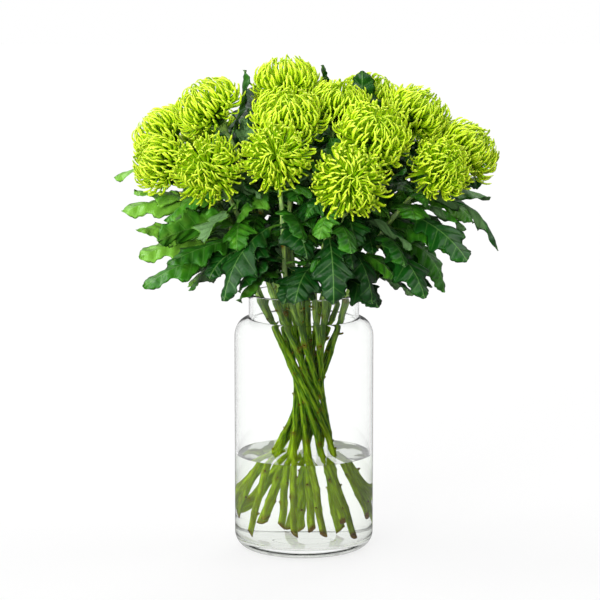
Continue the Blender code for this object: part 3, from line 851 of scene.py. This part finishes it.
def grown_leaves(stems):
    """The leaves of each stem, each varied until it is clear of everything before it, or left out."""
    clearances = Clearances(stems)
    leaves = [[] for _ in stems]
    upright = bend_wishes(stems, UPRIGHT_SHARES, UPRIGHT_LEAF_LENGTH, UPRIGHT_RISE, UPRIGHT_DROOP)
    collar = bend_wishes(stems, COLLAR_SHARES, COLLAR_LEAF_LENGTH, COLLAR_RISE, LEAF_DROOP)
    rounds = (
        (wished_leaves(stems), MOST_LEAVES, LEAF_CLEARANCE),
        (inner_wishes(stems), INNER_MOST_LEAVES, INNER_LEAF_CLEARANCE),
        (upright, UPRIGHT_MOST_LEAVES, COLLAR_CLEARANCE),
        (collar, COLLAR_MOST_LEAVES, COLLAR_CLEARANCE),
    )
    for wishes, most, clearance in rounds:
        for owner, height, wish in wishes:
            if len(leaves[owner]) == most:
                continue
            tries = variants(stems[owner], height, wish)
            leaf = next((leaf for leaf in tries if clearances.takes(leaf, owner, clearance)), None)
            if leaf:
                leaves[owner].append(leaf)
                clearances.add(leaf)
    return leaves


def rounded(t, places, values):
    """Values between places, joined by smooth steps, so that each lobe and each bay is rounded."""
    after = np.clip(np.searchsorted(places, t), 1, len(places) - 1)
    share = ease((t - places[after - 1]) / (places[after] - places[after - 1]))
    return values[after - 1] + (values[after] - values[after - 1]) * share


def blade_loops(leaf, draws, tone):
    """One leaf as a closed blade: its (rows, loop, 3) points, their places and their tones.

    Across the blade, the point at share a of the half width w lies w * a sideways and sweep * |a|^1.5
    ahead, and falls below the midrib by fold * w * |a|^1.3. A side vein that leaves the midrib at v
    slants ahead, so a point lies on v = (its place along the leaf - slant * w * |a|) / length.
    Its height has the margin's wave, a^2 sin(waves turns of t), less the quilting between side veins,
    cos(2 pi (v - start) / spacing) * 4 |a| (1 - |a|), and half the thickness, sqrt(1 - a^2), up for the
    upper face and down for the lower one, which also carries the midrib as a ridge.
    """
    wave, start, twist, fold_more, bend = draws
    blade_rows = 1 - (1 - PETIOLE_END) * np.linspace(1, 0, BLADE_ROWS) ** 1.2
    t = np.concatenate([np.linspace(0, 0.11, 4), blade_rows])
    stations, halves, sweeps = np.array(FINE_OUTLINE).T
    broad = min(leaf.length, BROADEST_LENGTH)
    closing = np.sqrt(1 - np.clip((t - TIP_START) / (1 - TIP_START), 0, 0.9998) ** 2)
    saw = np.sqrt(0.02 + np.sin(math.pi * t / TOOTH_SPACING) ** 2) - 0.6
    teeth = TOOTH_DEPTH * saw * ease((t - TEETH_START) / 0.1)
    half = (rounded(t, stations, halves) + teeth) * closing * broad
    sweep = rounded(t, stations, sweeps) * leaf.length
    roll = np.radians(leaf.roll + twist * t)[:, None]
    points, ahead, side, normal = (part[:, None, :] for part in leaf.frame(t, roll))

    shares = (np.arange(BLADE_COLUMNS + 1) / BLADE_COLUMNS) ** 1.2
    upper = np.concatenate([-shares[:0:-1], shares])
    lower = upper[-2:0:-1]
    a = np.concatenate([upper, lower])
    below = np.concatenate([np.zeros(len(upper)), np.ones(len(lower))])
    size, t_row, half_row = np.abs(a), t[:, None], half[:, None]

    blade = ease((t_row - BLADE_START) / 0.08)
    thick = PETIOLE_THICKNESS + (BLADE_THICKNESS - PETIOLE_THICKNESS) * blade
    forward = sweep[:, None] * size**1.5
    vein_root = (t_row * leaf.length + forward - VEIN_SLANT * half_row * size) / leaf.length
    veins = (vein_root - VEIN_START) / VEIN_SPACING
    quilt = QUILTING * np.cos(math.tau * (vein_root - VEIN_START) / VEIN_SPACING) * size * (1 - size) * 4
    margin = wave * size**2 * np.sin(math.tau * MARGIN_WAVES * t_row + start + 1.6 * np.sign(a))
    ridge = MIDRIB_RIDGE * (1 - t_row) * np.exp(-((half_row * a / MIDRIB_WIDTH) ** 2)) * blade
    fold = (LEAF_FOLD + fold_more) * half_row * size**1.3
    rise = thick / 2 * np.sqrt(np.clip(1 - a * a, 0, 1)) * (1 - 2 * below)
    height = (margin - quilt) * blade - fold + rise - ridge * below
    sideways = half_row * a + bend * t_row**2
    loops = points + side * sideways[..., None] + ahead * forward[..., None] + normal * height[..., None]
    place = triples(veins, np.sqrt(1 - size), half_row * size * 1000)
    tones = triples(tone, below, blade)
    return loops[:, ::-1], place[:, ::-1], tones[:, ::-1]


# Leafy stems


def stem_skin(skin, stem, rng):
    """The stem as a ridged tube: radius = r (1 + ridges cos 5a), swelling by a sixth at each node.

    r narrows from the foot to the waist and from the vase's rim to the calyx, where it flares; the foot
    is cut aslant. Off its straight line the stem wanders by a sum of two slow sines. Browning at a node
    falls off along the stem as a bell curve, on the side of the leaf that was stripped there.
    """
    reach, path = stem.centre_line()
    whole = reach[-1]
    height = path[:, 2]
    calyx = whole - CALYX_HEIGHT
    lower = np.interp(height, (stem.foot, WAIST_HEIGHT), (STEM_FOOT_RADIUS, STEM_RADIUS))
    rim = np.interp(VASE_HEIGHT, height, reach)
    upper = np.interp(reach, (rim, calyx), (STEM_RADIUS, STEM_TOP_RADIUS))
    flare = ease((reach - calyx + 0.012) / (CALYX_HEIGHT + 0.010))
    radius = np.where(reach < rim, lower, upper) + (CALYX_RADIUS - STEM_TOP_RADIUS) * flare
    held = ease(reach / 0.02) * ease((calyx - reach) / 0.04)
    for axis in (0, 1):
        turns = rng.uniform(0, math.tau, 2)
        quick = 0.6 * np.sin(reach / SHORT_WANDER + turns[1])
        wander = np.sin(reach / LONG_WANDER + turns[0]) + quick
        path[:, axis] += STEM_WANDER * wander * held
    nodes = np.arange(FIRST_NODE + 0.02 * rng.random(), whole - NODELESS_TOP, NODE_SPACING)
    nodes = nodes + rng.uniform(-NODE_STRAY, NODE_STRAY, len(nodes))
    ahead = unit(np.gradient(path, axis=0))
    outward = node_sides(reach, ahead, nodes, rng.uniform(0, math.tau))
    close = np.exp(-(((reach[:, None] - nodes) / NODE_LENGTH) ** 2))
    radius = radius * (1 + NODE_SWELLING * close.sum(axis=1))
    angles = circle(STEM_SIDES)
    across = np.cross([0, 0, 1.0], direction(FLOWERS[stem.number][3], 0))
    ones = np.ones(len(path))
    spread = rings_round(path, across, ones, ones, angles) - path[:, None]
    ridged = radius[:, None] * (1 + STEM_RIDGES * np.cos(5 * angles))
    slant = CUT_SLANT * np.cos(angles) * (ease(1 - reach / CUT_LENGTH) * radius)[:, None]
    rings = path[:, None] + spread * ridged[..., None] + ahead[:, None] * slant[..., None]
    scar = 1.2 * np.clip(spread @ outward.T, 0, 1) ** 2 * close[:, None]
    old = rng.uniform(0.1, 1.0, len(nodes)) ** 1.5
    cut = ease(1 - reach / BROWN_CUT)[:, None]
    brown = (0.15 * close @ old)[:, None] + scar @ old + cut
    place = triples(reach[:, None] / STREAK_LENGTH, np.cos(angles), np.sin(angles))
    skin.add(rings[None], place[None], triples(0.3 * rng.random(), brown, 0)[None])
    grow_stubs(skin, reach, path, radius, nodes, outward, rng)


def node_sides(reach, ahead, nodes, start):
    """The way out of the stem at each node, square to it and a golden angle on from the node below."""
    heading = unit(read_off(nodes, reach, ahead))
    turn = (start + GOLDEN_ANGLE * np.arange(len(nodes)))[:, None]
    reference = unit(np.cross(heading, [1.0, 0, 0]))
    return reference * np.cos(turn) + np.cross(heading, reference) * np.sin(turn)


def grow_stubs(skin, reach, path, radius, nodes, outward, rng):
    """The stubs of stripped leaves, one at a node, each a short stalk that tapers and ends blunt.

    Station k of a stub lies at root + length (outward k + upward climb k^2). They are longest round the
    neck, and brown towards their ends.
    """
    low = np.interp(nodes, reach, path[:, 2]) < STRIPPED_BELOW
    nodes, outward = nodes[low], outward[low]
    count = len(nodes)
    root = read_off(nodes, reach, path)
    ahead = unit(read_off(nodes + 0.004, reach, path) - root)
    in_neck = np.exp(-(((root[:, 2] - NECK_MIDDLE) / NECK_REACH) ** 2))
    length = rng.uniform(*STUB_LENGTH, count) + STUB_MORE_IN_NECK * in_neck * rng.random(count)
    k = np.array(STUB_STATIONS)
    from_axis = np.interp(nodes, reach, radius)[:, None] * 0.5 + length[:, None] * k
    climb = length[:, None] * k**2 * STUB_CLIMB
    line = root[:, None] + outward[:, None] * from_axis[..., None] + ahead[:, None] * climb[..., None]
    thick = np.outer(rng.uniform(*STUB_RADIUS, count), STUB_TAPER)
    angles = circle(7)
    rings = rings_round(line, np.cross(ahead, outward)[:, None], thick, thick, angles)
    brown = np.array(STUB_BROWNING)[None, :, None]
    along = nodes[:, None, None] / STREAK_LENGTH
    skin.add(rings, triples(along, 0 * brown, np.sin(angles)), triples(0.1, brown, 0 * angles))


def make_leafy_stem(stem, leaves, stalk, blade):
    """A stem with its stubs and its leaves; leaves on the bouquet's left are painted lighter, as painted
    light from that side.
    """
    rng = np.random.default_rng(100 + stem.number)
    skin = Skin()
    stem_skin(skin, stem, rng)
    for leaf in leaves:
        middle = leaf.midrib(np.array([0.6]))[0][0]
        draws = [rng.uniform(*limits) for limits in LEAF_DRAWS]
        # Each leaf's tone is random, plus painted light on the bouquet's left
        tone = 0.5 * rng.random() + LEFT_PAINTED_LIGHT * ease((-0.09 - middle[0]) / 0.08)
        loops, place, tones = blade_loops(leaf, draws, tone)
        skin.add(loops[None], place[None], tones[None], slot=1)
    piece = skin.build(f"stem_and_leaves_{stem.label}", [stalk, blade])
    set_piece(piece, "foliage", f"leafy_stem_{stem.label}")


# Blooms


def neighbour_planes(stem, stems):
    """The planes, as (point, normal), that part this bloom from each bloom that it touches."""
    planes = []
    for other in stems:
        across = other.centre - stem.centre
        distance = np.linalg.norm(across)
        reach = stem.bloom_radius + other.bloom_radius
        if other is not stem and distance < reach * NEIGHBOUR_REACH:
            planes.append((stem.centre + across * stem.bloom_radius / reach, across / distance))
    return planes


def crowd(points, planes):
    """Points near or past a plane are pressed back: depth d > -m becomes -m exp(-(d + m) / m)."""
    for point, normal in planes:
        depth = (points - point) @ normal
        past = np.clip(depth + CROWDING, 0, None)
        pressed = -CROWDING * np.exp(-past / CROWDING)
        points = points - np.where(depth > -CROWDING, depth - pressed, 0)[..., None] * normal
    return points


def petal_paths(rng, closed):
    """(lines, tilts) of a bloom's petals, the lines as [out, round, up] in fractions of its radius.

    Petal n stands n golden angles round, at the tilt whose cosine falls as (n / petals)^1.6, so petals
    crowd towards the middle. Along share s of its length its heading turns outwards, from -arch to arch,
    and from halfway, or later for outer petals, it hooks back inwards; it also turns sideways by
    swing s^2 and, in the hook, by curl. The headings summed give its line, which is then turned and
    drawn out so that its farthest point lies on the dome, width sin(tilt)^0.8 out and
    height + rise cos(tilt) up, with a dimple in the middle. The more closed a bloom is, from 0 to 1,
    the further its inner petals hook over it and the less it is dimpled. A point of the plane that a
    petal arches in is a complex number, up + i out, so one factor turns its line and draws it out.
    """
    share = (np.arange(PETALS) + 0.5) / PETALS
    tilt = np.arccos(1 - share**1.6 * (1 - math.cos(math.radians(LOWEST_TILT))))
    tilt = np.clip(tilt + np.radians(rng.normal(*TILT_STRAY, PETALS)), 0.02, None)
    outer = ease((np.degrees(tilt) - OUTER_TILT) / OUTER_SPAN)
    stray = (rng.random(PETALS) < STRAYING_SHARE) * outer
    longer = 1 + rng.normal(0, LENGTH_SPREAD, PETALS) * (1 + 1.6 * outer) + 0.06 * stray
    dimple = (0.07 - 0.05 * closed) * np.exp(-((np.degrees(tilt) / 11) ** 2))
    wide = (DOME_WIDTH + DOME_FLARE * outer) * np.sin(tilt) ** 0.8
    high = DOME_HEIGHT + DOME_RISE * np.cos(tilt)
    dome = high * longer - dimple + 1j * wide * longer
    foot_out = FOOT_WIDTH * np.sin(np.minimum(tilt, math.pi / 2))
    foot = FOOT_HEIGHT + FOOT_RISE * np.cos(tilt) + 1j * foot_out

    s = np.linspace(0, 1, PETAL_STEPS + 1)
    arch = np.radians(rng.normal(*PETAL_ARCH, PETALS))[:, None]
    weaker = OUTER_UNHOOKED * outer + STRAYING_UNHOOKED * stray
    stronger = CLOSED_HOOKED * closed * (1 - outer)
    hook = np.radians(rng.normal(*PETAL_HOOK, PETALS) - weaker + stronger)[:, None]
    swing = np.radians(rng.normal(*PETAL_SWING, PETALS))[:, None]
    curl = np.radians(rng.normal(*PETAL_CURL, PETALS) * (1 + 0.8 * stray))[:, None]
    start = (HOOK_START + OUTER_HOOK_LATER * outer)[:, None]
    hooked = ease((s - start) / (1 - start))
    turn = arch * (2 * ease(s / 0.65) - 1) - hook * hooked
    sideways = swing * s**2 + curl * hooked
    heading = np.stack([np.cos(turn) * np.cos(sideways), np.sin(turn) * np.cos(sideways), np.sin(sideways)])
    middle = (heading[..., 1:] + heading[..., :-1]) / 2
    line = np.concatenate([np.zeros((3, PETALS, 1)), np.cumsum(middle, axis=-1) / PETAL_STEPS], axis=-1)
    flat = line[0] + 1j * line[1]
    farthest = flat[np.arange(PETALS), np.abs(flat).argmax(axis=1)]
    factor = ((dome - foot) / farthest)[:, None]
    flat = foot[:, None] + flat * factor
    return np.stack([flat.imag, line[2] * np.abs(factor), flat.real], axis=-1), tilt


def petal_sections():
    """(places, widths, depths) along a petal: a quill that swells to a narrow spoon and shuts."""
    s = np.array(PETAL_STATIONS) / PETAL_STEPS
    body = 0.60 + 0.40 * ease(s / 0.4)
    spoon = np.exp(-(((s - 0.90) / 0.085) ** 2))
    closing = np.sqrt(np.clip(1 - ((s - 0.88) / 0.125).clip(0, None) ** 2, 0.04, 1))
    return s, (body + 0.12 * spoon) * closing, (body * 0.86 - 0.06 * spoon) * closing


def make_bloom(stem, stems, petal, green):
    """A bloom: its petals round a domed receptacle, with a cup of bracts beneath.

    Petals that point down are shorter, and the rest sag. Inner petals skip most of the painted shade at
    the foot, so they are pale along their whole length, all but those of a greener eye in the middle.
    """
    rng = np.random.default_rng(500 + stem.number)
    radius = stem.bloom_radius
    closed = rng.random()
    local, tilt = petal_paths(rng, closed)
    turn = np.arange(PETALS) * GOLDEN_ANGLE + rng.normal(0, 0.06, PETALS)
    outward, around = stem.spokes(turn[:, None, None])
    below = np.clip(-outward[..., 2:], 0, 1) * ease(tilt - 0.5)[:, None, None]
    line = stem.in_bloom(local * (1 - SHORTER_BELOW * below), outward, around)
    sag = rng.uniform(0, PETAL_SAG, PETALS) * radius * ease(tilt - 0.6) * (1 - below[:, 0, 0])
    line[..., 2] -= sag[:, None] * np.linspace(0, 1, PETAL_STEPS + 1) ** 2
    line = crowd(line[:, list(PETAL_STATIONS)], neighbour_planes(stem, stems))
    s, widths, depths = petal_sections()
    size = PETAL_WIDTH * radius * (0.70 + 0.30 * ease(tilt / 0.9)) * rng.uniform(0.85, 1.12, PETALS)
    angles = circle(PETAL_SIDES)
    rings = rings_round(line, around, size[:, None] * widths, size[:, None] * depths, angles)
    # Inner petals start partway along the colour ramp, past its painted shade at the foot
    pale = 0.35 * (1 - ease(tilt / 0.65))[:, None, None]
    along = s[None, :, None] * (1 - pale) + pale
    eye = 0.5 * (1 - 0.5 * closed) * ease((0.16 - tilt / tilt.max()) / 0.12)[:, None, None]
    greener = np.maximum(rng.random(PETALS)[:, None, None] * (1 - along) * 0.5, eye)
    skin = Skin()
    skin.add(rings, triples(along, greener, 0 * angles))
    add_receptacle(skin, stem)
    add_bracts(skin, stem)
    piece = skin.build(f"bloom_petals_{stem.label}", [petal, green])
    set_piece(piece, "petals", f"bloom_{stem.label}")


def add_receptacle(skin, stem):
    """The dome that the petals stand on: from the core's foot it climbs by rise ease(turn) and shuts."""
    turns = np.linspace(0, 1, 9)
    out = np.interp(turns, (0, 0.35, 1), (CALYX_RADIUS / stem.bloom_radius, 0.20, 0.02))
    local = triples(out, 0, CORE_FOOT + RECEPTACLE_RISE * ease(turns))
    rings = stem.in_bloom(local[:, None], *stem.spokes(circle(18)[:, None]))
    # At 0.05 along, the receptacle takes the petals' darkest foot colour, which is painted shade
    skin.add(rings[None], (0.05, 0, 0))


def add_bracts(skin, stem):
    """Two rows of bracts, which leave the calyx's edge and curl up round the petals as curl k^2."""
    k = np.linspace(0, 1, 6)
    row = (np.arange(BRACTS) % 2)[:, None]
    outward, around = stem.spokes((np.arange(BRACTS) * math.tau / BRACTS)[:, None, None])
    out = 0.62 * CALYX_RADIUS / stem.bloom_radius + (BRACT_REACH + 0.03 * row) * k
    height = CORE_FOOT - 0.045 + 0.015 * row + BRACT_CURL * k**2
    line = stem.in_bloom(triples(out, 0, height), outward, around)
    taper = np.sqrt(np.clip(1.02 - k**2.2, 0.02, 1)) * (1 + 0 * row)
    width = BRACT_WIDTH * stem.bloom_radius * taper
    rings = rings_round(line, around, width, width * 0.3 + 0.0002, circle(6))
    skin.add(rings, (0.5 / STREAK_LENGTH, 0, 0), (0.1, 0, 0), slot=1)


# Materials


def shade(code, alpha=1.0):
    """An sRGB hex colour as linear red, green, blue and alpha."""
    levels = np.array([int(code[i : i + 2], 16) for i in (1, 3, 5)]) / 255
    linear = np.where(levels <= 0.04045, levels / 12.92, ((levels + 0.055) / 1.055) ** 2.4)
    return (*linear, alpha)


def new_material(name):
    """An empty material and its node tree."""
    made = bpy.data.materials.new(name)
    made.use_nodes = True
    return made, made.node_tree


def fill_inputs(tree, node, inputs):
    """Sets a node's inputs: each by its name or number, to a value or to another node's output."""
    for socket, value in inputs.items():
        if isinstance(value, bpy.types.NodeSocket):
            tree.links.new(value, node.inputs[socket])
        else:
            node.inputs[socket].default_value = value


def finished(material, inputs):
    """The material, once the inputs of its Principled shader are set."""
    fill_inputs(material.node_tree, material.node_tree.nodes["Principled BSDF"], inputs)
    return material


def add_node(tree, kind, inputs, stops=(), **settings):
    """Adds a shader node with its settings and links, and returns its outputs.

    inputs are as for fill_inputs, and stops are the places and hex colours of a ramp.
    """
    node = tree.nodes.new("ShaderNode" + kind)
    for name, value in settings.items():
        setattr(node, name, value)
    for number, (place, code) in enumerate(stops):
        elements = node.color_ramp.elements
        element = elements[number] if number < len(elements) else elements.new(1.0)
        element.position = place
        element.color = shade(code)
    fill_inputs(tree, node, inputs)
    return node.outputs


def soda_lime_glass():
    """Soda-lime glass, blown and fire-polished: clear, with the faintest green-grey in its thickness."""
    made, _ = new_material("soda-lime glass")
    return finished(made, {
        "Base Color": shade("#FCFDFC"),
        "Specular Tint": shade("#585858"),
        "Roughness": 0.0,
        "IOR": 1.5,
        "Transmission Weight": 1.0,
    })


def still_water():
    """Tap water that has stood with cut stems for a while: clear, a trace of green."""
    made, _ = new_material("still water")
    return finished(made, {
        "Base Color": shade("#FBFDF9"),
        "Roughness": 0.0,
        "IOR": 1.333,
        "Transmission Weight": 1.0,
    })


def petal_flesh():
    """Fresh petal: a thin waxy quill, lime along it and yellower at the tip, green at its foot, which is
    darkened further as painted shade deep in the bloom.

    Some light shines in.
    """
    made, tree = new_material("chrysanthemum petal")
    place = add_node(tree, "Attribute", {}, attribute_name="place")["Vector"]
    along, greener, _ = add_node(tree, "SeparateXYZ", {0: place})
    # The ramp's near-black foot is painted shade deep in the bloom, over the petal's own greener base
    body = ((0.0, "#1A4402"), (0.34, "#4E8A06"), (0.58, "#98C80E"), (0.82, "#C4E220"), (1.0, "#DCF24A"))
    body = add_node(tree, "ValToRGB", {0: along}, stops=body)[0]
    colour = add_node(tree, "Mix", {0: greener, 6: body, 7: shade("#93BC0C")}, data_type="RGBA")[2]
    return finished(made, {
        "Base Color": colour,
        "Roughness": 0.42,
        "Subsurface Weight": 0.15,
        "Subsurface Radius": (0.6, 1.0, 0.15),
        "Subsurface Scale": 0.0012,
    })


def leaf_flesh():
    """Fresh leaf: dark waxy green above, with paler sunken veins, and grey-green and dull beneath."""
    made, tree = new_material("chrysanthemum leaf")
    place = add_node(tree, "Attribute", {}, attribute_name="place")["Vector"]
    veins, fading, millimetres = add_node(tree, "SeparateXYZ", {0: place})
    tone = add_node(tree, "Attribute", {}, attribute_name="tone")["Vector"]
    tone, below, blade = add_node(tree, "SeparateXYZ", {0: tone})
    spot = add_node(tree, "TexCoord", {})["Object"]
    mottle = add_node(tree, "TexNoise", {"Vector": spot, "Scale": 60.0, "Detail": 3.0})[0]
    # tone holds each leaf's random tone and the painted light on the bouquet's left
    mixed = add_node(tree, "Math", {0: mottle, 1: 0.6, 2: tone}, operation="MULTIPLY_ADD")[0]
    upper = ((0.15, "#082C0A"), (0.50, "#144A10"), (0.74, "#387A16"), (1.0, "#70AA34"))
    upper = add_node(tree, "ValToRGB", {0: mixed}, stops=upper)[0]
    apart = add_node(tree, "Math", {0: veins, 1: 0.5}, operation="PINGPONG")[0]
    side_vein = add_node(tree, "MapRange", {0: apart, 1: 0.07, 2: 0.02, 3: 0.0, 4: 0.24})[0]
    side_vein = add_node(tree, "Math", {0: side_vein, 1: fading}, operation="MULTIPLY")[0]
    midrib = add_node(tree, "MapRange", {0: millimetres, 1: 0.9, 2: 0.5, 3: 0.0, 4: 0.42})[0]
    vein = add_node(tree, "Math", {0: midrib, 1: side_vein}, operation="MAXIMUM")[0]
    veined = add_node(tree, "Mix", {0: vein, 6: upper, 7: shade("#76A852")}, data_type="RGBA")[2]
    faces = add_node(tree, "Mix", {0: below, 6: veined, 7: shade("#5F8450")}, data_type="RGBA")[2]
    colour = add_node(tree, "Mix", {0: blade, 6: shade("#5C9030"), 7: faces}, data_type="RGBA")[2]
    rough = add_node(tree, "MapRange", {0: below, 3: 0.30, 4: 0.62})[0]
    crinkle = add_node(tree, "TexNoise", {"Vector": spot, "Scale": 210.0, "Detail": 2.0})[0]
    relief = add_node(tree, "Math", {0: vein, 1: -2.0, 2: crinkle}, operation="MULTIPLY_ADD")[0]
    bump = add_node(tree, "Bump", {"Height": relief, "Strength": 0.5, "Distance": 0.0012})[0]
    return finished(made, {"Base Color": colour, "Roughness": rough, "Normal": bump})


def stem_flesh():
    """Fresh stem: streaked yellow-green, painted brighter and yellower in the water as painted light,
    deeper above and pale near the bloom.

    It is browned at its nodes and its cut.
    """
    made, tree = new_material("chrysanthemum stem")
    place = add_node(tree, "Attribute", {}, attribute_name="place")["Vector"]
    reach = add_node(tree, "SeparateXYZ", {0: place})[0]
    tone = add_node(tree, "Attribute", {}, attribute_name="tone")["Vector"]
    tone, brown, _ = add_node(tree, "SeparateXYZ", {0: tone})
    streak = add_node(tree, "TexNoise", {"Vector": place, "Scale": 1.6, "Detail": 3.0})[0]
    streaks = ((0.38, "#142C02"), (0.48, "#467C04"), (0.58, "#B2DC26"))
    streaks = add_node(tree, "ValToRGB", {0: streak}, stops=streaks)[0]
    share = add_node(tree, "Math", {0: reach, 1: STREAK_LENGTH / 0.62}, operation="MULTIPLY")[0]
    # By share of the stem's reach: much brighter up to the water line, which is painted light, then dark,
    # then pale
    stages = ((0, "#E2FC3C"), (0.17, "#CCF020"), (0.24, "#3A6804"), (0.42, "#4E7A0A"), (0.57, "#B8D498"))
    stages = add_node(tree, "ValToRGB", {0: share}, stops=stages)[0]
    green = add_node(tree, "Mix", {0: 0.45, 6: streaks, 7: stages}, data_type="RGBA")[2]
    toned = add_node(tree, "Mix", {0: tone, 6: green, 7: shade("#4A7812")}, data_type="RGBA")[2]
    spot = add_node(tree, "TexCoord", {})["Object"]
    mottle = add_node(tree, "TexNoise", {"Vector": spot, "Scale": 90.0, "Detail": 4.0})[0]
    patch = add_node(tree, "Math", {0: mottle, 1: 0.5}, operation="ADD")[0]
    patch = add_node(tree, "Math", {0: patch, 1: brown}, operation="MULTIPLY", use_clamp=True)[0]
    colour = add_node(tree, "Mix", {0: patch, 6: toned, 7: shade("#7C5C10")}, data_type="RGBA")[2]
    bump = add_node(tree, "Bump", {"Height": streak, "Strength": 0.5, "Distance": 0.0008})[0]
    return finished(made, {
        "Base Color": colour,
        "Roughness": 0.6,
        "Specular IOR Level": 0.04,
        "Normal": bump,
    })


def studio_board():
    """Matt opal acrylic, lit from beneath as a light table is, so that shadows on it are faint."""
    made, _ = new_material("matt opal acrylic")
    return finished(made, {
        "Base Color": shade("#6F6F6F"),
        "Roughness": 0.9,
        "Emission Color": shade("#FFFFFF"),
        "Emission Strength": FLOOR_GLOW,
    })


# Studio


def make_floor():
    """A round white table that the vase sinks into by a hair, so no film of air lies beneath the glass.

    It shows to the eye alone, and neither lights the bouquet from below nor shines in its gloss.
    """
    turns = circle(96)
    rim = [(FLOOR_RADIUS * math.cos(turn), FLOOR_RADIUS * math.sin(turn), FLOOR_LIFT) for turn in turns]
    mesh = bpy.data.meshes.new("studio_floor")
    mesh.from_pydata(rim, [], [tuple(range(len(rim)))])
    mesh.materials.append(studio_board())
    floor = put_in_scene("studio_floor", mesh)
    floor.visible_glossy = False
    floor.visible_diffuse = False


def add_light(name, azimuth, elevation, spread, power, in_gloss):
    """A broad soft light that is far away, so it falls evenly, and that doesn't shine through glass."""
    lamp = bpy.data.lights.new(name, "SUN")
    lamp.angle = math.radians(spread)
    lamp.energy = power
    made = put_in_scene(name, lamp)
    made.rotation_euler = (math.radians(90 - elevation), 0, math.radians(azimuth))
    made.visible_transmission = False
    made.visible_glossy = in_gloss


def light_studio():
    """White all round to the eye, also through glass, and brightest overhead for what it lights.

    Gloss and glass reflect a dim room with a broad soft box overhead, as between a photographer's dark
    cards. What stands behind glass is lit by one broad window at the left front.
    """
    world = bpy.data.worlds.new("white studio")
    bpy.context.scene.world = world
    world.use_nodes = True
    tree = world.node_tree
    tree.nodes.clear()
    path = add_node(tree, "LightPath", {})
    way = add_node(tree, "TexCoord", {})["Generated"]
    height = add_node(tree, "SeparateXYZ", {0: way})[2]
    soft = {"interpolation_type": "SMOOTHSTEP"}
    box = add_node(tree, "MapRange", {0: height, 1: 0.25, 2: 0.80}, **soft)[0]
    gloss = add_node(tree, "MapRange", {0: box, 3: GLOSS_LEVELS[0], 4: GLOSS_LEVELS[1]})[0]
    levels = {3: AMBIENT_LEVELS[0], 4: AMBIENT_LEVELS[1]}
    ambient = add_node(tree, "MapRange", {0: height, 1: -0.35, 2: 0.85, **levels}, **soft)[0]
    from_window = {0: way, 1: tuple(direction(*WINDOW))}
    towards = add_node(tree, "VectorMath", from_window, operation="DOT_PRODUCT")["Value"]
    levels = {3: WINDOW_LEVELS[0], 4: WINDOW_LEVELS[1]}
    window = add_node(tree, "MapRange", {0: towards, 1: 0.55, 2: 1.0, **levels}, **soft)[0]
    passed = path["Transmission Depth"]
    behind_glass = add_node(tree, "Math", {0: passed, 1: 0.5}, operation="GREATER_THAN")[0]
    on_matt = add_node(tree, "Mix", {0: behind_glass, 2: ambient, 3: window})[0]
    first = add_node(tree, "Math", {0: path["Diffuse Depth"], 1: 0.5}, operation="LESS_THAN")[0]
    in_gloss = add_node(tree, "Math", {0: path["Is Glossy Ray"], 1: first}, operation="MULTIPLY")[0]
    lit = add_node(tree, "Mix", {0: in_gloss, 2: on_matt, 3: gloss})[0]
    rays = {0: path["Is Camera Ray"], 1: path["Is Transmission Ray"]}
    eye = add_node(tree, "Math", rays, operation="MAXIMUM")[0]
    seen = add_node(tree, "Math", {0: eye, 1: first}, operation="MULTIPLY")[0]
    strength = add_node(tree, "Mix", {0: seen, 2: lit, 3: 1.0})[0]
    background = add_node(tree, "Background", {"Color": shade("#FFFFFF"), "Strength": strength})[0]
    add_node(tree, "OutputWorld", {0: background})
    for light in LIGHTS:
        add_light(*light)


def place_camera():
    lens = bpy.data.cameras.new("camera")
    lens.lens = CAMERA_LENS
    lens.sensor_width = 36.0
    lens.clip_end = 200.0
    camera = put_in_scene("camera", lens)
    camera.location = CAMERA_PLACE
    camera.rotation_euler = (math.radians(90 - CAMERA_PITCH), 0, 0)
    bpy.context.scene.camera = camera
    bpy.context.scene.view_settings.view_transform = "Standard"


def main():
    place_camera()
    light_studio()
    make_floor()
    make_turned("vase_glass", vase_outline(), soda_lime_glass(), "glass", "vase")
    make_turned("vase_water", water_outline(), still_water(), "water", "water")
    stems = [Stem(number, place) for number, place in enumerate(waist_places())]
    leaves = grown_leaves(stems)
    stalk, blade, petal = stem_flesh(), leaf_flesh(), petal_flesh()
    for stem, own in zip(stems, leaves):
        make_leafy_stem(stem, own, stalk, blade)
        make_bloom(stem, stems, petal, stalk)


main()
